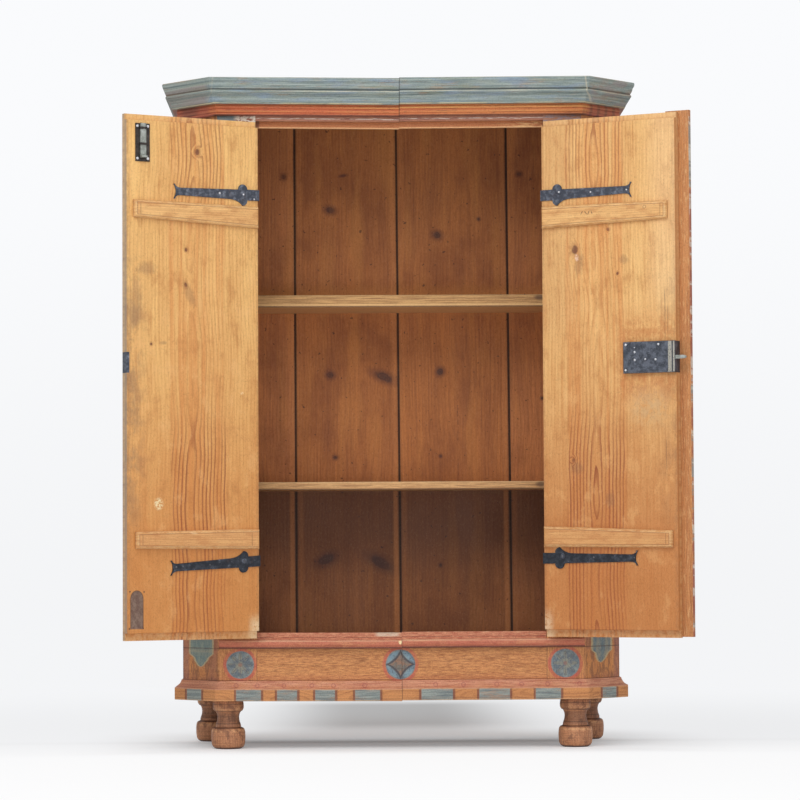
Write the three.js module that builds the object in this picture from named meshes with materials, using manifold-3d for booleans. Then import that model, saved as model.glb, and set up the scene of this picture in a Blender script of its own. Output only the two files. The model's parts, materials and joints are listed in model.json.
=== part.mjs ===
// A painted pine cupboard with canted corners, two lipped doors on strap hinges, two shelves and
// turned feet. It was made, or later sawn, in two halves that meet on a seam down the middle.
// Millimetres. x runs to the right, y to the back, z up. The front face of the case is at y = 0,
// the seam at x = 0 and the floor at z = 0, until the whole cupboard is centred at the end.
import * as THREE from "three";
import { mergeVertices } from "three/addons/utils/BufferGeometryUtils.js";
import Module from "manifold-3d";

const wasm = await Module();
wasm.setup();

// Sizes of the case.
const jointGap = 0.3; // left between any two pieces that touch
const cutOverrun = 2; // how far a cut runs past the face that it opens
const board = 26; // thickness of the front, corner and side boards
const frontHalfWidth = 511; // seam to the front corner
const cant = 106; // how far the canted corner runs back, and out
const caseDepth = 463;
const caseTop = 1850;
const stileWidth = 106; // doorway to the front corner
const footHeight = 136;
const headSeamDrop = { left: 5, right: 3 }; // the head has sunk this much at the seam
const baseSeamDrop = { left: 2.5, right: 0.5 };

// Heights are stacked: each is measured from the edge of the piece that it stands on or hangs from.
const rebateDepth = 14; // the step round the doorway that takes the door's lip
const sill = { ledge: 170, lip: 19.5 }; // the ledge over the case's underside, the top over the ledge
const cornice = { height: 71, overCase: 30, reach: 55 };
const bedMoulding = { height: 31.5, reach: 15.5 };
const headRail = { band: 15, lip: 17.5 }; // the plain band over the ledge, the stop under it
const plinth = { height: 55.5, reach: 23.5 };
const sillMoulding = { height: 24, reach: 18 };

const floorBoard = { underSill: 25.5, thickness: 20 };
const topBoardThickness = 18;
const housing = { depth: 8, setBack: 10 }; // the grooves in the sides that carry floor and shelves
const shelfFront = 200; // the shelves stand back from the case's face
const upperShelf = { overFloor: 987, thickness: 35, wornEdge: 9 };
const lowerShelf = { overFloor: 449.5, thickness: 22, wornEdge: 2 };

const backBoard = { thickness: 18, rebate: 12, seamGap: 5, lap: 8 };
// Where the three seams of the back stand at the foot and at the top, as shares of half its width:
// the boards are tapered.
const backSeamShares = [
  { foot: -0.5, top: -0.505 },
  { foot: 0.01, top: -0.006 },
  { foot: 0.551, top: 0.534 },
];

const cornerBlock = { height: 50, length: 90 };
const foot = { ball: 48, dowel: 14, dowelLength: 34, sides: 24 };
const frontFoot = { fromCorner: 23, fromFace: 62 };
const rearFoot = { fromSide: 69.5, fromBack: 58 };

const sillNick = { from: 11, to: 70, depth: 5, height: 4, sides: 10 }; // a worn hollow beside the seam

// Sizes of the doors and their ironwork.
const openAngle = THREE.MathUtils.degToRad(152);
const door = {
  thickness: 28,
  footGap: 4.5, // ledge of the sill to the lip
  headGap: 8, // lip to the ledge of the head
  lip: 14, // thickness of the lip at head and foot
  footLip: 20.5,
  headLip: 17,
  arris: 1.5,
  hingeGap: 3.6, // door edge to stile
  meetingGap: 1, // door edge to the seam
};
const pin = { radius: 4, fromEdge: 7, fromFace: 8.5, crown: 3 };
const eye = { wall: 3.7, sides: 20 };
const strap = {
  thickness: 3,
  root: 15, // half of its height at the door's edge
  bossAt: 48, // middle of the boss, from the door's edge
  boss: 14, // half of the boss's width
  point: 31, // tip of the boss's pointed side, over the strap's middle
  pointWaist: 28,
  shoulderAt: 92,
  shoulder: 13.5,
  neck: 10.3,
  tailLength: 24,
  horn: 20.5,
  hornWidth: 5,
  tailHollow: 7,
};
const pintle = { arm: 22, width: 8, height: 9, spike: 20 };
// A hinge stands so far from the nearer end of its door, and its tail rises or falls a little.
const leftUpperHinge = { fromDoorEnd: 208.5, reach: 260, tailRise: 0 };
const leftLowerHinge = { fromDoorEnd: 215.5, reach: 271, tailRise: -17.9 };
const rightUpperHinge = { fromDoorEnd: 211.5, reach: 273, tailRise: 3 };
const rightLowerHinge = { fromDoorEnd: 218.5, reach: 283, tailRise: 0 };
const batten = { thickness: 15, edge: 7, hingeEnd: 2 };
// A batten ends short of the door's free edge. Its near and far edges are measured from the nearer
// end of the door, first at the hinge and then at the free end.
const leftUpperBatten = { short: 19.4, nearHinge: 241, nearFree: 237.5, farHinge: 301.5, farFree: 285.5 };
const leftLowerBatten = { short: 24.4, nearHinge: 248.5, nearFree: 251, farHinge: 304, farFree: 297 };
const rightUpperBatten = { short: 21.4, nearHinge: 243.5, nearFree: 245.5, farHinge: 304.5, farFree: 295 };
const rightLowerBatten = { short: 13.4, nearHinge: 250, nearFree: 247, farHinge: 308, farFree: 293.5 };
const astragal = { overFoot: 2.5, overHead: 5, onDoor: 38, overlap: 32, thickness: 18, bead: 3, flat: 13 };
const lock = { length: 153, overFoot: 726, height: 86.5, depth: 13, edge: 2 };
const lockBolt = { throw: 31, width: 9.5, thickness: 7, hidden: 46, fromDoor: 2.2, overLockFoot: 41.5 };
const forePlate = { thickness: 1.5, onEdge: 26 };
const keyhole = { fromEdge: 62, radius: 4.5, slot: 4.5, slotLength: 15, sides: 16 };
const strikePlate = { overLockFoot: 5, height: 57, thickness: 1.5, onFace: 8.5 };
const boltPlate = { fromEdge: 26.4, width: 43, underHead: 26.5, height: 105, thickness: 2 };
const slideBolt = { width: 17, thickness: 5, drawn: 10, tab: 9 };
const keeper = { height: 6, wall: 2, foot: 5, lower: 45, upper: 89 }; // heights over the plate's foot

// Sizes that follow from those above.
const halfGap = jointGap / 2;
const doorwayHalfWidth = frontHalfWidth - stileWidth;
const sillLedge = footHeight + sill.ledge;
const sillTop = sillLedge + sill.lip;
const corniceTop = caseTop + cornice.overCase;
const corniceBottom = corniceTop - cornice.height;
const bedBottom = corniceBottom - bedMoulding.height;
const headLedge = bedBottom - headRail.band;
const headBottom = headLedge - headRail.lip;
const floorTop = sillTop - floorBoard.underSill;
const floorFoot = floorTop - floorBoard.thickness;
const upperShelfTop = floorTop + upperShelf.overFloor;
const lowerShelfTop = floorTop + lowerShelf.overFloor;
const caseHalfWidth = frontHalfWidth + cant;
const innerSide = caseHalfWidth - board;
const carcassPlan = [
  new THREE.Vector2(0, 0),
  new THREE.Vector2(frontHalfWidth, 0),
  new THREE.Vector2(caseHalfWidth, cant),
  new THREE.Vector2(caseHalfWidth, caseDepth),
];
const innerPlan = offsetPath(carcassPlan, -board);
const backFace = caseDepth - backBoard.thickness;
const frontFootPlace = new THREE.Vector2(frontHalfWidth - frontFoot.fromCorner, frontFoot.fromFace);
const rearFootPlace = new THREE.Vector2(caseHalfWidth - rearFoot.fromSide, caseDepth - rearFoot.fromBack);
const doorBottom = sillLedge + door.footGap;
const doorTop = headLedge - door.headGap;
const doorEdge = doorwayHalfWidth - door.hingeGap; // from the seam
const doorWidth = doorEdge - door.meetingGap;
const pinX = doorEdge + pin.fromEdge;
const doorStart = pin.fromEdge; // from the pin, along the door
const doorEnd = doorStart + doorWidth;
const outerFace = pin.fromFace; // from the pin, into the case
const innerFace = outerFace + door.thickness;
const lockBottom = doorBottom + lock.overFoot;
const lockTop = lockBottom + lock.height;
const boltHeight = lockBottom + lockBolt.overLockFoot;
const strikeBottom = lockBottom + strikePlate.overLockFoot;
const strikeTop = strikeBottom + strikePlate.height;
const hinges = {
  left: { upper: highHinge(leftUpperHinge), lower: lowHinge(leftLowerHinge) },
  right: { upper: highHinge(rightUpperHinge), lower: lowHinge(rightLowerHinge) },
};
const battens = {
  left: { upper: highBatten(leftUpperBatten), lower: lowBatten(leftLowerBatten) },
  right: { upper: highBatten(rightUpperBatten), lower: lowBatten(rightLowerBatten) },
};

// Outlines of the mouldings, as shares of their reach and height. Two numbers are the end of a
// straight stretch, four are the control point and the end of a curve.
const corniceShares = [
  [0.51, 0], [0.51, 0.06], [0.55, 0.06],
  [0.56, 0.27, 0.74, 0.37], [0.77, 0.37], [0.77, 0.4],
  [0.85, 0.41, 0.84, 0.46], [0.84, 0.51, 0.78, 0.51],
  [0.79, 0.55], [0.86, 0.6, 0.895, 0.7], [0.92, 0.81, 0.985, 0.85],
  [1.01, 0.92, 1, 0.97], [0.965, 1],
];
const bedShares = [
  [0.62, 0], [0.68, 0.06], [0.68, 0.22],
  [0.92, 0.26, 0.92, 0.5], [0.78, 0.52], [0.78, 0.58],
  [1, 0.6, 1, 0.74], [1, 0.88, 0.84, 0.88], [0.84, 1],
];
const plinthShares = [
  [0.96, 0], [1, 0.02], [1, 0.59],
  [0.98, 0.63, 0.9, 0.64], [0.52, 0.67, 0.24, 0.93], [0.2, 1],
];
const sillShares = [
  [0.72, 0], [0.8, 0.08], [0.8, 0.24], [1.04, 0.34, 1, 0.66], [0.97, 0.96, 0.72, 1],
];
// The turned foot's outline, as shares of the ball's radius and of the foot's height.
const footShares = [
  [0.73, 0], [0.79, 0.012],
  [0.93, 0.03, 0.97, 0.1], [1.025, 0.23, 0.985, 0.355], [0.96, 0.43, 0.8, 0.437],
  [0.74, 0.45], [0.76, 0.485, 0.7, 0.53], [0.64, 0.575, 0.635, 0.65],
  [0.64, 0.72, 0.74, 0.765], [0.81, 0.775], [0.92, 0.81, 0.91, 0.88], [0.9, 0.95, 0.85, 1],
];

const woods = {
  pine: finish(0xd9a066, 0.7),
  agedPine: finish(0x8a5530, 0.8),
  rustPaint: finish(0xb5703f, 0.75),
  redPaint: finish(0xb0573a, 0.7),
  bluePaint: finish(0x869b96, 0.75),
  turned: finish(0x8c573a, 0.65),
};
const iron = finish(0x3a3d42, 0.5, 0.85);
const steel = finish(0x9a9a96, 0.4, 0.9);

function finish(color, roughness, metalness = 0) {
  return new THREE.MeshStandardMaterial({ color, roughness, metalness });
}

// The boss of an upper strap is round over its middle and pointed under it. A lower strap is the
// same forging turned over.
function highHinge({ fromDoorEnd, reach, tailRise }) {
  return { height: doorTop - fromDoorEnd, reach, slope: tailRise / reach, turnedOver: false };
}

function lowHinge({ fromDoorEnd, reach, tailRise }) {
  return { height: doorBottom + fromDoorEnd, reach, slope: tailRise / reach, turnedOver: true };
}

// A batten's corners, from the hinge end of its lower edge round to the hinge end of its upper edge.
function battenCorners(short, heights) {
  const start = doorStart + batten.hingeEnd;
  const end = doorEnd - short;
  return [start, end, end, start].map((x, i) => new THREE.Vector2(x, heights[i]));
}

function highBatten({ short, nearHinge, nearFree, farHinge, farFree }) {
  return battenCorners(short, [farHinge, farFree, nearFree, nearHinge].map((down) => doorTop - down));
}

function lowBatten({ short, nearHinge, nearFree, farHinge, farFree }) {
  return battenCorners(short, [nearHinge, nearFree, farFree, farHinge].map((up) => doorBottom + up));
}

// The normal on the right-hand side of the way from one point to the next.
function edgeNormal(from, to) {
  const along = to.clone().sub(from).normalize();
  return new THREE.Vector2(along.y, -along.x);
}

// How far a corner moves when both its edges move out by one.
function mitre(before, point, after) {
  const first = before ? edgeNormal(before, point) : edgeNormal(point, after);
  const second = after ? edgeNormal(point, after) : first;
  return first.clone().add(second).divideScalar(1 + first.dot(second));
}

function offsetPath(path, distance) {
  return path.map((point, i) =>
    point.clone().addScaledVector(mitre(path[i - 1], point, path[i + 1]), distance),
  );
}

function offsetOutline(outline, distance) {
  const count = outline.length;
  return outline.map((point, i) => {
    const before = outline[(i + count - 1) % count];
    return point.clone().addScaledVector(mitre(before, point, outline[(i + 1) % count]), distance);
  });
}

function outlineOf(pairs) {
  return pairs.map(([x, y]) => new THREE.Vector2(x, y));
}

// The points of a moulding's face, in real sizes, from its shares.
function drawn(shares, reach, height, divisions = 4) {
  const path = new THREE.Path();
  path.moveTo(shares[0][0] * reach, shares[0][1] * height);
  for (const step of shares.slice(1)) {
    const [x, y, endX, endY] = step;
    if (step.length === 2) path.lineTo(x * reach, y * height);
    else path.quadraticCurveTo(x * reach, y * height, endX * reach, endY * height);
  }
  return path.getPoints(divisions);
}

// One closed body through rings of equal length. The outline gives the shape of its two ends.
function skin(rings, outline) {
  const size = outline.length;
  const positions = rings.flat().flatMap((point) => [point.x, point.y, point.z]);
  const index = [];
  for (let ring = 0; ring + 1 < rings.length; ring++) {
    for (let i = 0; i < size; i++) {
      const here = ring * size + i;
      const next = ring * size + ((i + 1) % size);
      index.push(here, next, next + size, here, next + size, here + size);
    }
  }
  const last = (rings.length - 1) * size;
  for (const [a, b, c] of THREE.ShapeUtils.triangulateShape(outline, [])) {
    index.push(c, b, a, last + a, last + b, last + c);
  }
  const geometry = new THREE.BufferGeometry();
  geometry.setAttribute("position", new THREE.Float32BufferAttribute(positions, 3));
  return geometry.setIndex(index);
}

function extruded(outline, length) {
  return new THREE.ExtrudeGeometry(new THREE.Shape(outline), { depth: length, bevelEnabled: false });
}

// An upright piece from its plan.
function upright(outline, bottom, top) {
  const geometry = extruded(offsetOutline(outline, -halfGap), top - bottom - jointGap);
  return geometry.translate(0, 0, bottom + halfGap);
}

// A level piece from its section across y and z, running along x.
function level(section, from, to) {
  const turn = new THREE.Matrix4().makeBasis(
    new THREE.Vector3(0, 1, 0),
    new THREE.Vector3(0, 0, 1),
    new THREE.Vector3(1, 0, 0),
  );
  const geometry = extruded(offsetOutline(section, -halfGap), to - from - jointGap);
  return geometry.applyMatrix4(turn).translate(from + halfGap, 0, 0);
}

// A plate that lies against a face that looks along y, from its outline across x and z.
function plate(outline, from, to) {
  const turn = new THREE.Matrix4().makeBasis(
    new THREE.Vector3(1, 0, 0),
    new THREE.Vector3(0, 0, 1),
    new THREE.Vector3(0, -1, 0),
  );
  return extruded(outline, to - from).applyMatrix4(turn).translate(0, to, 0);
}

// A plate whose far edge is moulded: each step is how far in it stands and how far out from the face.
function mouldedPlate(outline, from, steps) {
  const rings = [...steps].reverse().map(([inset, height]) =>
    offsetOutline(outline, -inset).map((p) => new THREE.Vector3(p.x, from + height, p.y)),
  );
  return skin(rings, outline);
}

function box(low, high, grow = 0) {
  const size = [0, 1, 2].map((i) => high[i] - low[i] + 2 * grow);
  const middle = [0, 1, 2].map((i) => (low[i] + high[i]) / 2);
  return new THREE.BoxGeometry(...size).translate(...middle);
}

function rod(radius, sides, x, y, bottom, top) {
  const geometry = new THREE.CylinderGeometry(radius, radius, top - bottom, sides);
  return geometry.rotateX(Math.PI / 2).translate(x, y, (bottom + top) / 2);
}

function solidOf(geometry) {
  const bare = geometry.clone();
  for (const name of Object.keys(bare.attributes)) {
    if (name !== "position") bare.deleteAttribute(name);
  }
  const merged = mergeVertices(bare);
  return new wasm.Manifold(
    new wasm.Mesh({
      numProp: 3,
      vertProperties: merged.getAttribute("position").array,
      triVerts: new Uint32Array(merged.index.array),
    }),
  );
}

function geometryOf(solid) {
  const made = solid.getMesh();
  const geometry = new THREE.BufferGeometry();
  geometry.setAttribute("position", new THREE.BufferAttribute(made.vertProperties, 3));
  return geometry.setIndex(new THREE.BufferAttribute(made.triVerts, 1));
}

function without(geometry, ...cutters) {
  return geometryOf(cutters.reduce((left, cutter) => left.subtract(solidOf(cutter)), solidOf(geometry)));
}

function joined(...geometries) {
  return geometryOf(geometries.map(solidOf).reduce((sum, solid) => sum.add(solid)));
}

// How far the old case has sunk at one place, all of it at the seam and none at the corner.
function sinking(drop, x) {
  return drop * Math.max(0, 1 - Math.abs(x) / frontHalfWidth);
}

function sunk(geometry, drop) {
  const position = geometry.getAttribute("position");
  for (let i = 0; i < position.count; i++) {
    position.setZ(i, position.getZ(i) - sinking(drop, position.getX(i)));
  }
  return geometry;
}

// A moulding mitred round the front, the canted corner and the side of one half.
function mitredMoulding(shares, reach, bottom, top) {
  const face = drawn(shares, reach, top - bottom).map((p) => p.add(new THREE.Vector2(0, bottom)));
  const section = [new THREE.Vector2(0, bottom), ...face, new THREE.Vector2(0, top)];
  const profile = offsetOutline(section, -halfGap);
  const path = [
    new THREE.Vector2(halfGap, 0),
    carcassPlan[1],
    carcassPlan[2],
    new THREE.Vector2(caseHalfWidth, caseDepth - halfGap),
  ];
  const rings = path.map((point, i) => {
    const out = mitre(path[i - 1], point, path[i + 1]);
    return profile.map((p) => {
      const plan = point.clone().addScaledVector(out, p.x);
      return new THREE.Vector3(plan.x, plan.y, p.y);
    });
  });
  return skin(rings.reverse(), profile);
}

// The front frame, made for the right-hand half.
function stile(sideHinges, headDrop) {
  const [, corner] = carcassPlan;
  const outline = [
    new THREE.Vector2(doorwayHalfWidth, 0),
    corner,
    innerPlan[1],
    new THREE.Vector2(doorwayHalfWidth, board),
  ];
  const sockets = Object.values(sideHinges).map((hinge) => {
    const { low, high } = spikeCorners(hinge);
    return box([low[0], -cutOverrun, low[2]], high, jointGap);
  });
  const top = caseTop - sinking(headDrop, doorwayHalfWidth);
  return without(upright(outline, footHeight, top), ...sockets);
}

function cornerBoard(headDrop) {
  const outline = [carcassPlan[1], carcassPlan[2], innerPlan[2], innerPlan[1]];
  return upright(outline, footHeight, caseTop - sinking(headDrop, innerPlan[1].x));
}

function sideBoard() {
  const rebate = innerSide + backBoard.rebate;
  const outline = [
    carcassPlan[2],
    new THREE.Vector2(caseHalfWidth, caseDepth),
    new THREE.Vector2(rebate, caseDepth),
    new THREE.Vector2(rebate, backFace),
    new THREE.Vector2(innerSide, backFace),
    innerPlan[2],
  ];
  const housings = [
    [innerPlan[2].y + housing.setBack, floorFoot, floorTop],
    [shelfFront, upperShelfTop - upperShelf.thickness, upperShelfTop],
    [shelfFront, lowerShelfTop - lowerShelf.thickness, lowerShelfTop],
  ].map(([front, bottom, top]) =>
    box([innerSide - cutOverrun, front, bottom], [innerSide + housing.depth, backFace, top], halfGap),
  );
  return without(upright(outline, footHeight, caseTop), ...housings);
}

function bottomRail(drop) {
  const section = outlineOf([
    [0, footHeight],
    [board, footHeight],
    [board, floorFoot],
    [board - housing.depth, floorFoot],
    [board - housing.depth, floorTop],
    [board, floorTop],
    [board, sillTop],
    [rebateDepth, sillTop],
    [rebateDepth, sillLedge],
    [0, sillLedge],
  ]);
  return sunk(level(section, 0, doorwayHalfWidth), drop);
}

// The left-hand rail has a worn hollow in its top edge, next to the seam.
function wornBottomRail(drop) {
  const { from, to, depth, height, sides } = sillNick;
  const hollow = new THREE.SphereGeometry(1, sides * 2, sides);
  hollow.scale((to - from) / 2, depth * 2, height);
  hollow.translate((from + to) / 2, rebateDepth, sillTop);
  return without(bottomRail(drop), sunk(hollow, drop));
}

function headBoard(drop) {
  const section = outlineOf([
    [rebateDepth, headBottom],
    [board, headBottom],
    [board, caseTop],
    [0, caseTop],
    [0, headLedge],
    [rebateDepth, headLedge],
  ]);
  return sunk(level(section, 0, doorwayHalfWidth), drop);
}

function sillStrip(drop) {
  const bottom = sillLedge - sillMoulding.height;
  const face = drawn(sillShares, sillMoulding.reach, sillMoulding.height);
  const section = [
    new THREE.Vector2(0, bottom),
    new THREE.Vector2(0, sillLedge),
    ...face.reverse().map((p) => new THREE.Vector2(-p.x, bottom + p.y)),
  ];
  return sunk(level(section, 0, frontHalfWidth), drop);
}

function floorHalf(drop) {
  const front = board - housing.depth;
  const sideStart = innerPlan[2].y + housing.setBack;
  const outline = [
    ...outlineOf([[0, front], [doorwayHalfWidth, front], [doorwayHalfWidth, board]]),
    innerPlan[1],
    innerPlan[2],
    ...outlineOf([
      [innerSide, sideStart],
      [innerSide + housing.depth, sideStart],
      [innerSide + housing.depth, backFace],
      [0, backFace],
    ]),
  ];
  return sunk(upright(outline, floorFoot, floorTop), drop);
}

function topHalf(drop) {
  const outline = [...carcassPlan, new THREE.Vector2(0, caseDepth)];
  return sunk(upright(outline, caseTop, caseTop + topBoardThickness), drop);
}

// A shelf runs from side to side, its ends in the housings. Its front edge is worn round.
function shelf(top, { thickness, wornEdge }) {
  const section = new THREE.Path();
  section.moveTo(shelfFront, top - thickness);
  section.lineTo(backFace, top - thickness);
  section.lineTo(backFace, top);
  section.lineTo(shelfFront + wornEdge, top);
  section.quadraticCurveTo(shelfFront, top, shelfFront, top - wornEdge);
  const end = innerSide + housing.depth;
  return level(section.getPoints(4), -end, end);
}

// A back board's plan at one height: its right-hand edge is lapped over the next board's rear.
function backPlan(left, right, isFirst, isLast) {
  const lapFace = (backFace + caseDepth) / 2;
  const halfSeam = backBoard.seamGap / 2;
  const outline = outlineOf([[isFirst ? left : left + halfSeam, backFace]]);
  if (isLast) {
    outline.push(...outlineOf([[right, backFace], [right, caseDepth]]));
  } else {
    outline.push(
      ...outlineOf([
        [right - halfSeam, backFace],
        [right - halfSeam, lapFace],
        [right + backBoard.lap, lapFace],
        [right + backBoard.lap, caseDepth],
      ]),
    );
  }
  if (isFirst) {
    outline.push(new THREE.Vector2(left, caseDepth));
  } else {
    outline.push(
      ...outlineOf([
        [left + backBoard.lap, caseDepth],
        [left + backBoard.lap, lapFace],
        [left + halfSeam, lapFace],
      ]),
    );
  }
  return offsetOutline(outline, -halfGap);
}

function backBoards() {
  const edge = innerSide + backBoard.rebate;
  const top = caseTop - Math.max(headSeamDrop.left, headSeamDrop.right);
  const shares = [{ foot: -1, top: -1 }, ...backSeamShares, { foot: 1, top: 1 }];
  const seams = shares.map((share) => ({ foot: share.foot * edge, top: share.top * edge }));
  return seams.slice(1).map((right, i) => {
    const left = seams[i];
    const ends = [i === 0, i === backSeamShares.length];
    const rings = [
      [backPlan(left.foot, right.foot, ...ends), footHeight + halfGap],
      [backPlan(left.top, right.top, ...ends), top - halfGap],
    ].map(([plan, z]) => plan.map((p) => new THREE.Vector3(p.x, p.y, z)));
    return skin(rings, backPlan(left.foot, right.foot, ...ends));
  });
}

// A glued block in each bottom corner takes the foot's dowel.
function frontBlock() {
  const [, , inner] = innerPlan;
  const right = Math.min(frontFootPlace.x + cornerBlock.length / 2, inner.x);
  const left = right - cornerBlock.length;
  const cantAtRight = innerPlan[1].y + right - innerPlan[1].x;
  const outline = [
    new THREE.Vector2(left, board),
    innerPlan[1],
    new THREE.Vector2(right, cantAtRight),
    new THREE.Vector2(right, board + cornerBlock.length),
    new THREE.Vector2(left, board + cornerBlock.length),
  ];
  return withDowelHole(upright(outline, footHeight, footHeight + cornerBlock.height), frontFootPlace);
}

function rearBlock() {
  const front = backFace - cornerBlock.length;
  const outline = outlineOf([
    [innerSide - cornerBlock.length, front],
    [innerSide, front],
    [innerSide, backFace],
    [innerSide - cornerBlock.length, backFace],
  ]);
  return withDowelHole(upright(outline, footHeight, footHeight + cornerBlock.height), rearFootPlace);
}

function withDowelHole(block, place) {
  const radius = foot.dowel + jointGap;
  const top = footHeight + foot.dowelLength + jointGap;
  return without(block, rod(radius, foot.sides, place.x, place.y, footHeight - cutOverrun, top));
}

function turnedFoot({ x, y }) {
  const height = footHeight - halfGap;
  const outline = [
    new THREE.Vector2(0, 0),
    ...drawn(footShares, foot.ball, height, 3),
    new THREE.Vector2(foot.dowel, height),
    new THREE.Vector2(foot.dowel, footHeight + foot.dowelLength),
    new THREE.Vector2(0, footHeight + foot.dowelLength),
  ];
  return new THREE.LatheGeometry(outline, foot.sides).rotateX(Math.PI / 2).translate(x, y, 0);
}

// The doors are made shut, with the hinge pin as origin, x along the door and y into the case.
function doorLeaf() {
  const { lip, footLip, headLip, arris, thickness } = door;
  const bottom = doorBottom;
  const top = doorTop;
  const section = outlineOf([
    [0, bottom],
    [lip, bottom],
    [lip, bottom + footLip],
    [thickness - arris, bottom + footLip],
    [thickness, bottom + footLip + arris],
    [thickness, top - headLip - arris],
    [thickness - arris, top - headLip],
    [lip, top - headLip],
    [lip, top],
    [0, top],
  ]);
  return level(section, doorStart, doorEnd).translate(0, outerFace, 0);
}

// The leaf that closes first, let in at its edge for the strike plate.
function leftLeaf() {
  const { thickness, onFace } = strikePlate;
  const edgeRecess = box(
    [doorEnd - thickness, outerFace - cutOverrun, strikeBottom],
    [doorEnd + cutOverrun, innerFace + cutOverrun, strikeTop],
    halfGap,
  );
  const faceRecess = box(
    [doorEnd - onFace, innerFace - thickness, strikeBottom],
    [doorEnd, innerFace + cutOverrun, strikeTop],
    halfGap,
  );
  return without(doorLeaf(), edgeRecess, faceRecess);
}

function rightLeaf() {
  const recess = box(
    [doorEnd - forePlate.thickness, innerFace - forePlate.onEdge, lockBottom],
    [doorEnd + cutOverrun, innerFace + cutOverrun, lockTop],
    halfGap,
  );
  return without(doorLeaf(), recess, keyholeCutter());
}

function keyholeCutter() {
  const { fromEdge, radius, slot, slotLength, sides } = keyhole;
  const x = doorEnd - fromEdge;
  const from = outerFace - cutOverrun;
  const to = innerFace + cutOverrun;
  const bore = new THREE.CylinderGeometry(radius, radius, to - from, sides);
  bore.translate(x, (from + to) / 2, boltHeight);
  const slit = box([x - slot / 2, from, boltHeight - slotLength], [x + slot / 2, to, boltHeight]);
  return joined(bore, slit);
}

// Half of a strap's outline, from the door's edge to the middle of its tail, with the round side or
// the pointed side of its boss.
function strapEdge(reach, isPointed) {
  const { root, bossAt, boss, point, pointWaist, shoulderAt, shoulder, neck } = strap;
  const { tailLength, horn, hornWidth, tailHollow } = strap;
  const edge = new THREE.Path();
  edge.moveTo(0, root);
  edge.lineTo(bossAt - boss, root);
  if (isPointed) {
    edge.quadraticCurveTo(bossAt - boss, pointWaist, bossAt, point);
    edge.quadraticCurveTo(bossAt + boss, shoulder, shoulderAt, shoulder);
  } else {
    edge.absarc(bossAt, root, boss, Math.PI, 0, true);
    edge.quadraticCurveTo(bossAt + boss, shoulder, shoulderAt, shoulder);
  }
  edge.lineTo(reach - tailLength, neck);
  edge.quadraticCurveTo(reach - hornWidth, neck, reach - hornWidth, horn);
  edge.lineTo(reach, horn);
  edge.quadraticCurveTo(reach - tailHollow, horn / 2, reach - tailHollow, 0);
  return edge.getPoints(6);
}

function strapOutline({ reach, height, slope, turnedOver }) {
  const upper = strapEdge(reach, turnedOver);
  const lower = strapEdge(reach, !turnedOver).slice(0, -1).map((p) => new THREE.Vector2(p.x, -p.y));
  const tilt = (p) => new THREE.Vector2(doorStart + p.x, height + p.y + slope * p.x);
  return [...lower, ...upper.reverse()].map(tilt);
}

// A strap lies on the inside of the leaf, turns round its edge and ends in the eye on the pin.
function strapHinge(hinge) {
  const face = innerFace + halfGap;
  const blade = plate(strapOutline(hinge), face, face + strap.thickness);
  const bottom = hinge.height - strap.root;
  const top = hinge.height + strap.root;
  const outside = doorStart - halfGap - strap.thickness;
  const turned = box([outside, 0, bottom], [doorStart - halfGap, face + strap.thickness, top]);
  const root = box(
    [outside, face, bottom],
    [doorStart + strap.thickness, face + strap.thickness, top],
  );
  const bore = pin.radius + jointGap;
  const barrel = rod(bore + eye.wall, eye.sides, 0, 0, bottom, top);
  const hole = rod(bore, eye.sides, 0, 0, bottom - cutOverrun, top + cutOverrun);
  return without(joined(blade, root, turned, barrel), hole);
}

// Two opposite corners of the pintle's spike, which is driven into the stile.
function spikeCorners({ height }) {
  const top = height - strap.root - jointGap;
  const out = pinX + pintle.arm;
  return {
    low: [out - pintle.width, -pin.fromFace - pintle.width / 2, top - pintle.height],
    high: [out, pintle.spike, top],
  };
}

// The pintle stands on the case. Its arm carries the eye of the strap, its pin goes through it.
function hingePintle(hinge) {
  const { low, high } = spikeCorners(hinge);
  const spike = box(low, high);
  const arm = box([pinX, low[1], low[2]], [high[0], low[1] + pintle.width, high[2]]);
  const boss = rod(pintle.width / 2 + pin.crown / 2, eye.sides, pinX, -pin.fromFace, low[2], high[2]);
  const pinTop = hinge.height + strap.root + pin.crown;
  const stem = rod(pin.radius, eye.sides, pinX, -pin.fromFace, low[2], pinTop);
  return joined(spike, arm, boss, stem);
}

// A tapered batten with a moulded edge, across the inside of the leaf.
function doorBatten(corners) {
  const { thickness, edge } = batten;
  const stepShares = [[0, 0], [0, 0.4], [0.2, 0.4], [0.3, 0.72], [0.65, 0.94], [1, 1]];
  const steps = stepShares.map(([inset, height]) => [inset * edge, height * thickness]);
  return mouldedPlate(corners, innerFace + jointGap, steps);
}

// The strip on the face of the right-hand leaf, which covers the joint between the leaves.
function meetingStrip() {
  const left = doorEnd - astragal.onDoor;
  const right = doorEnd + astragal.overlap;
  const middle = (left + right) / 2;
  const face = outerFace - astragal.thickness;
  const flat = face + astragal.bead;
  const section = new THREE.Path();
  section.moveTo(left + astragal.bead, flat);
  section.lineTo(middle - astragal.flat, flat);
  section.quadraticCurveTo(middle - astragal.flat, face, middle, face);
  section.quadraticCurveTo(middle + astragal.flat, face, middle + astragal.flat, flat);
  section.lineTo(right - astragal.bead, flat);
  section.quadraticCurveTo(right, flat, right, flat + astragal.bead);
  section.lineTo(right, outerFace - halfGap);
  section.lineTo(left, outerFace - halfGap);
  section.lineTo(left, flat + astragal.bead);
  section.quadraticCurveTo(left, flat, left + astragal.bead, flat);
  const outline = section.getPoints(3).slice(0, -1);
  return upright(outline, doorBottom + astragal.overFoot, doorTop + astragal.overHead);
}

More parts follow.
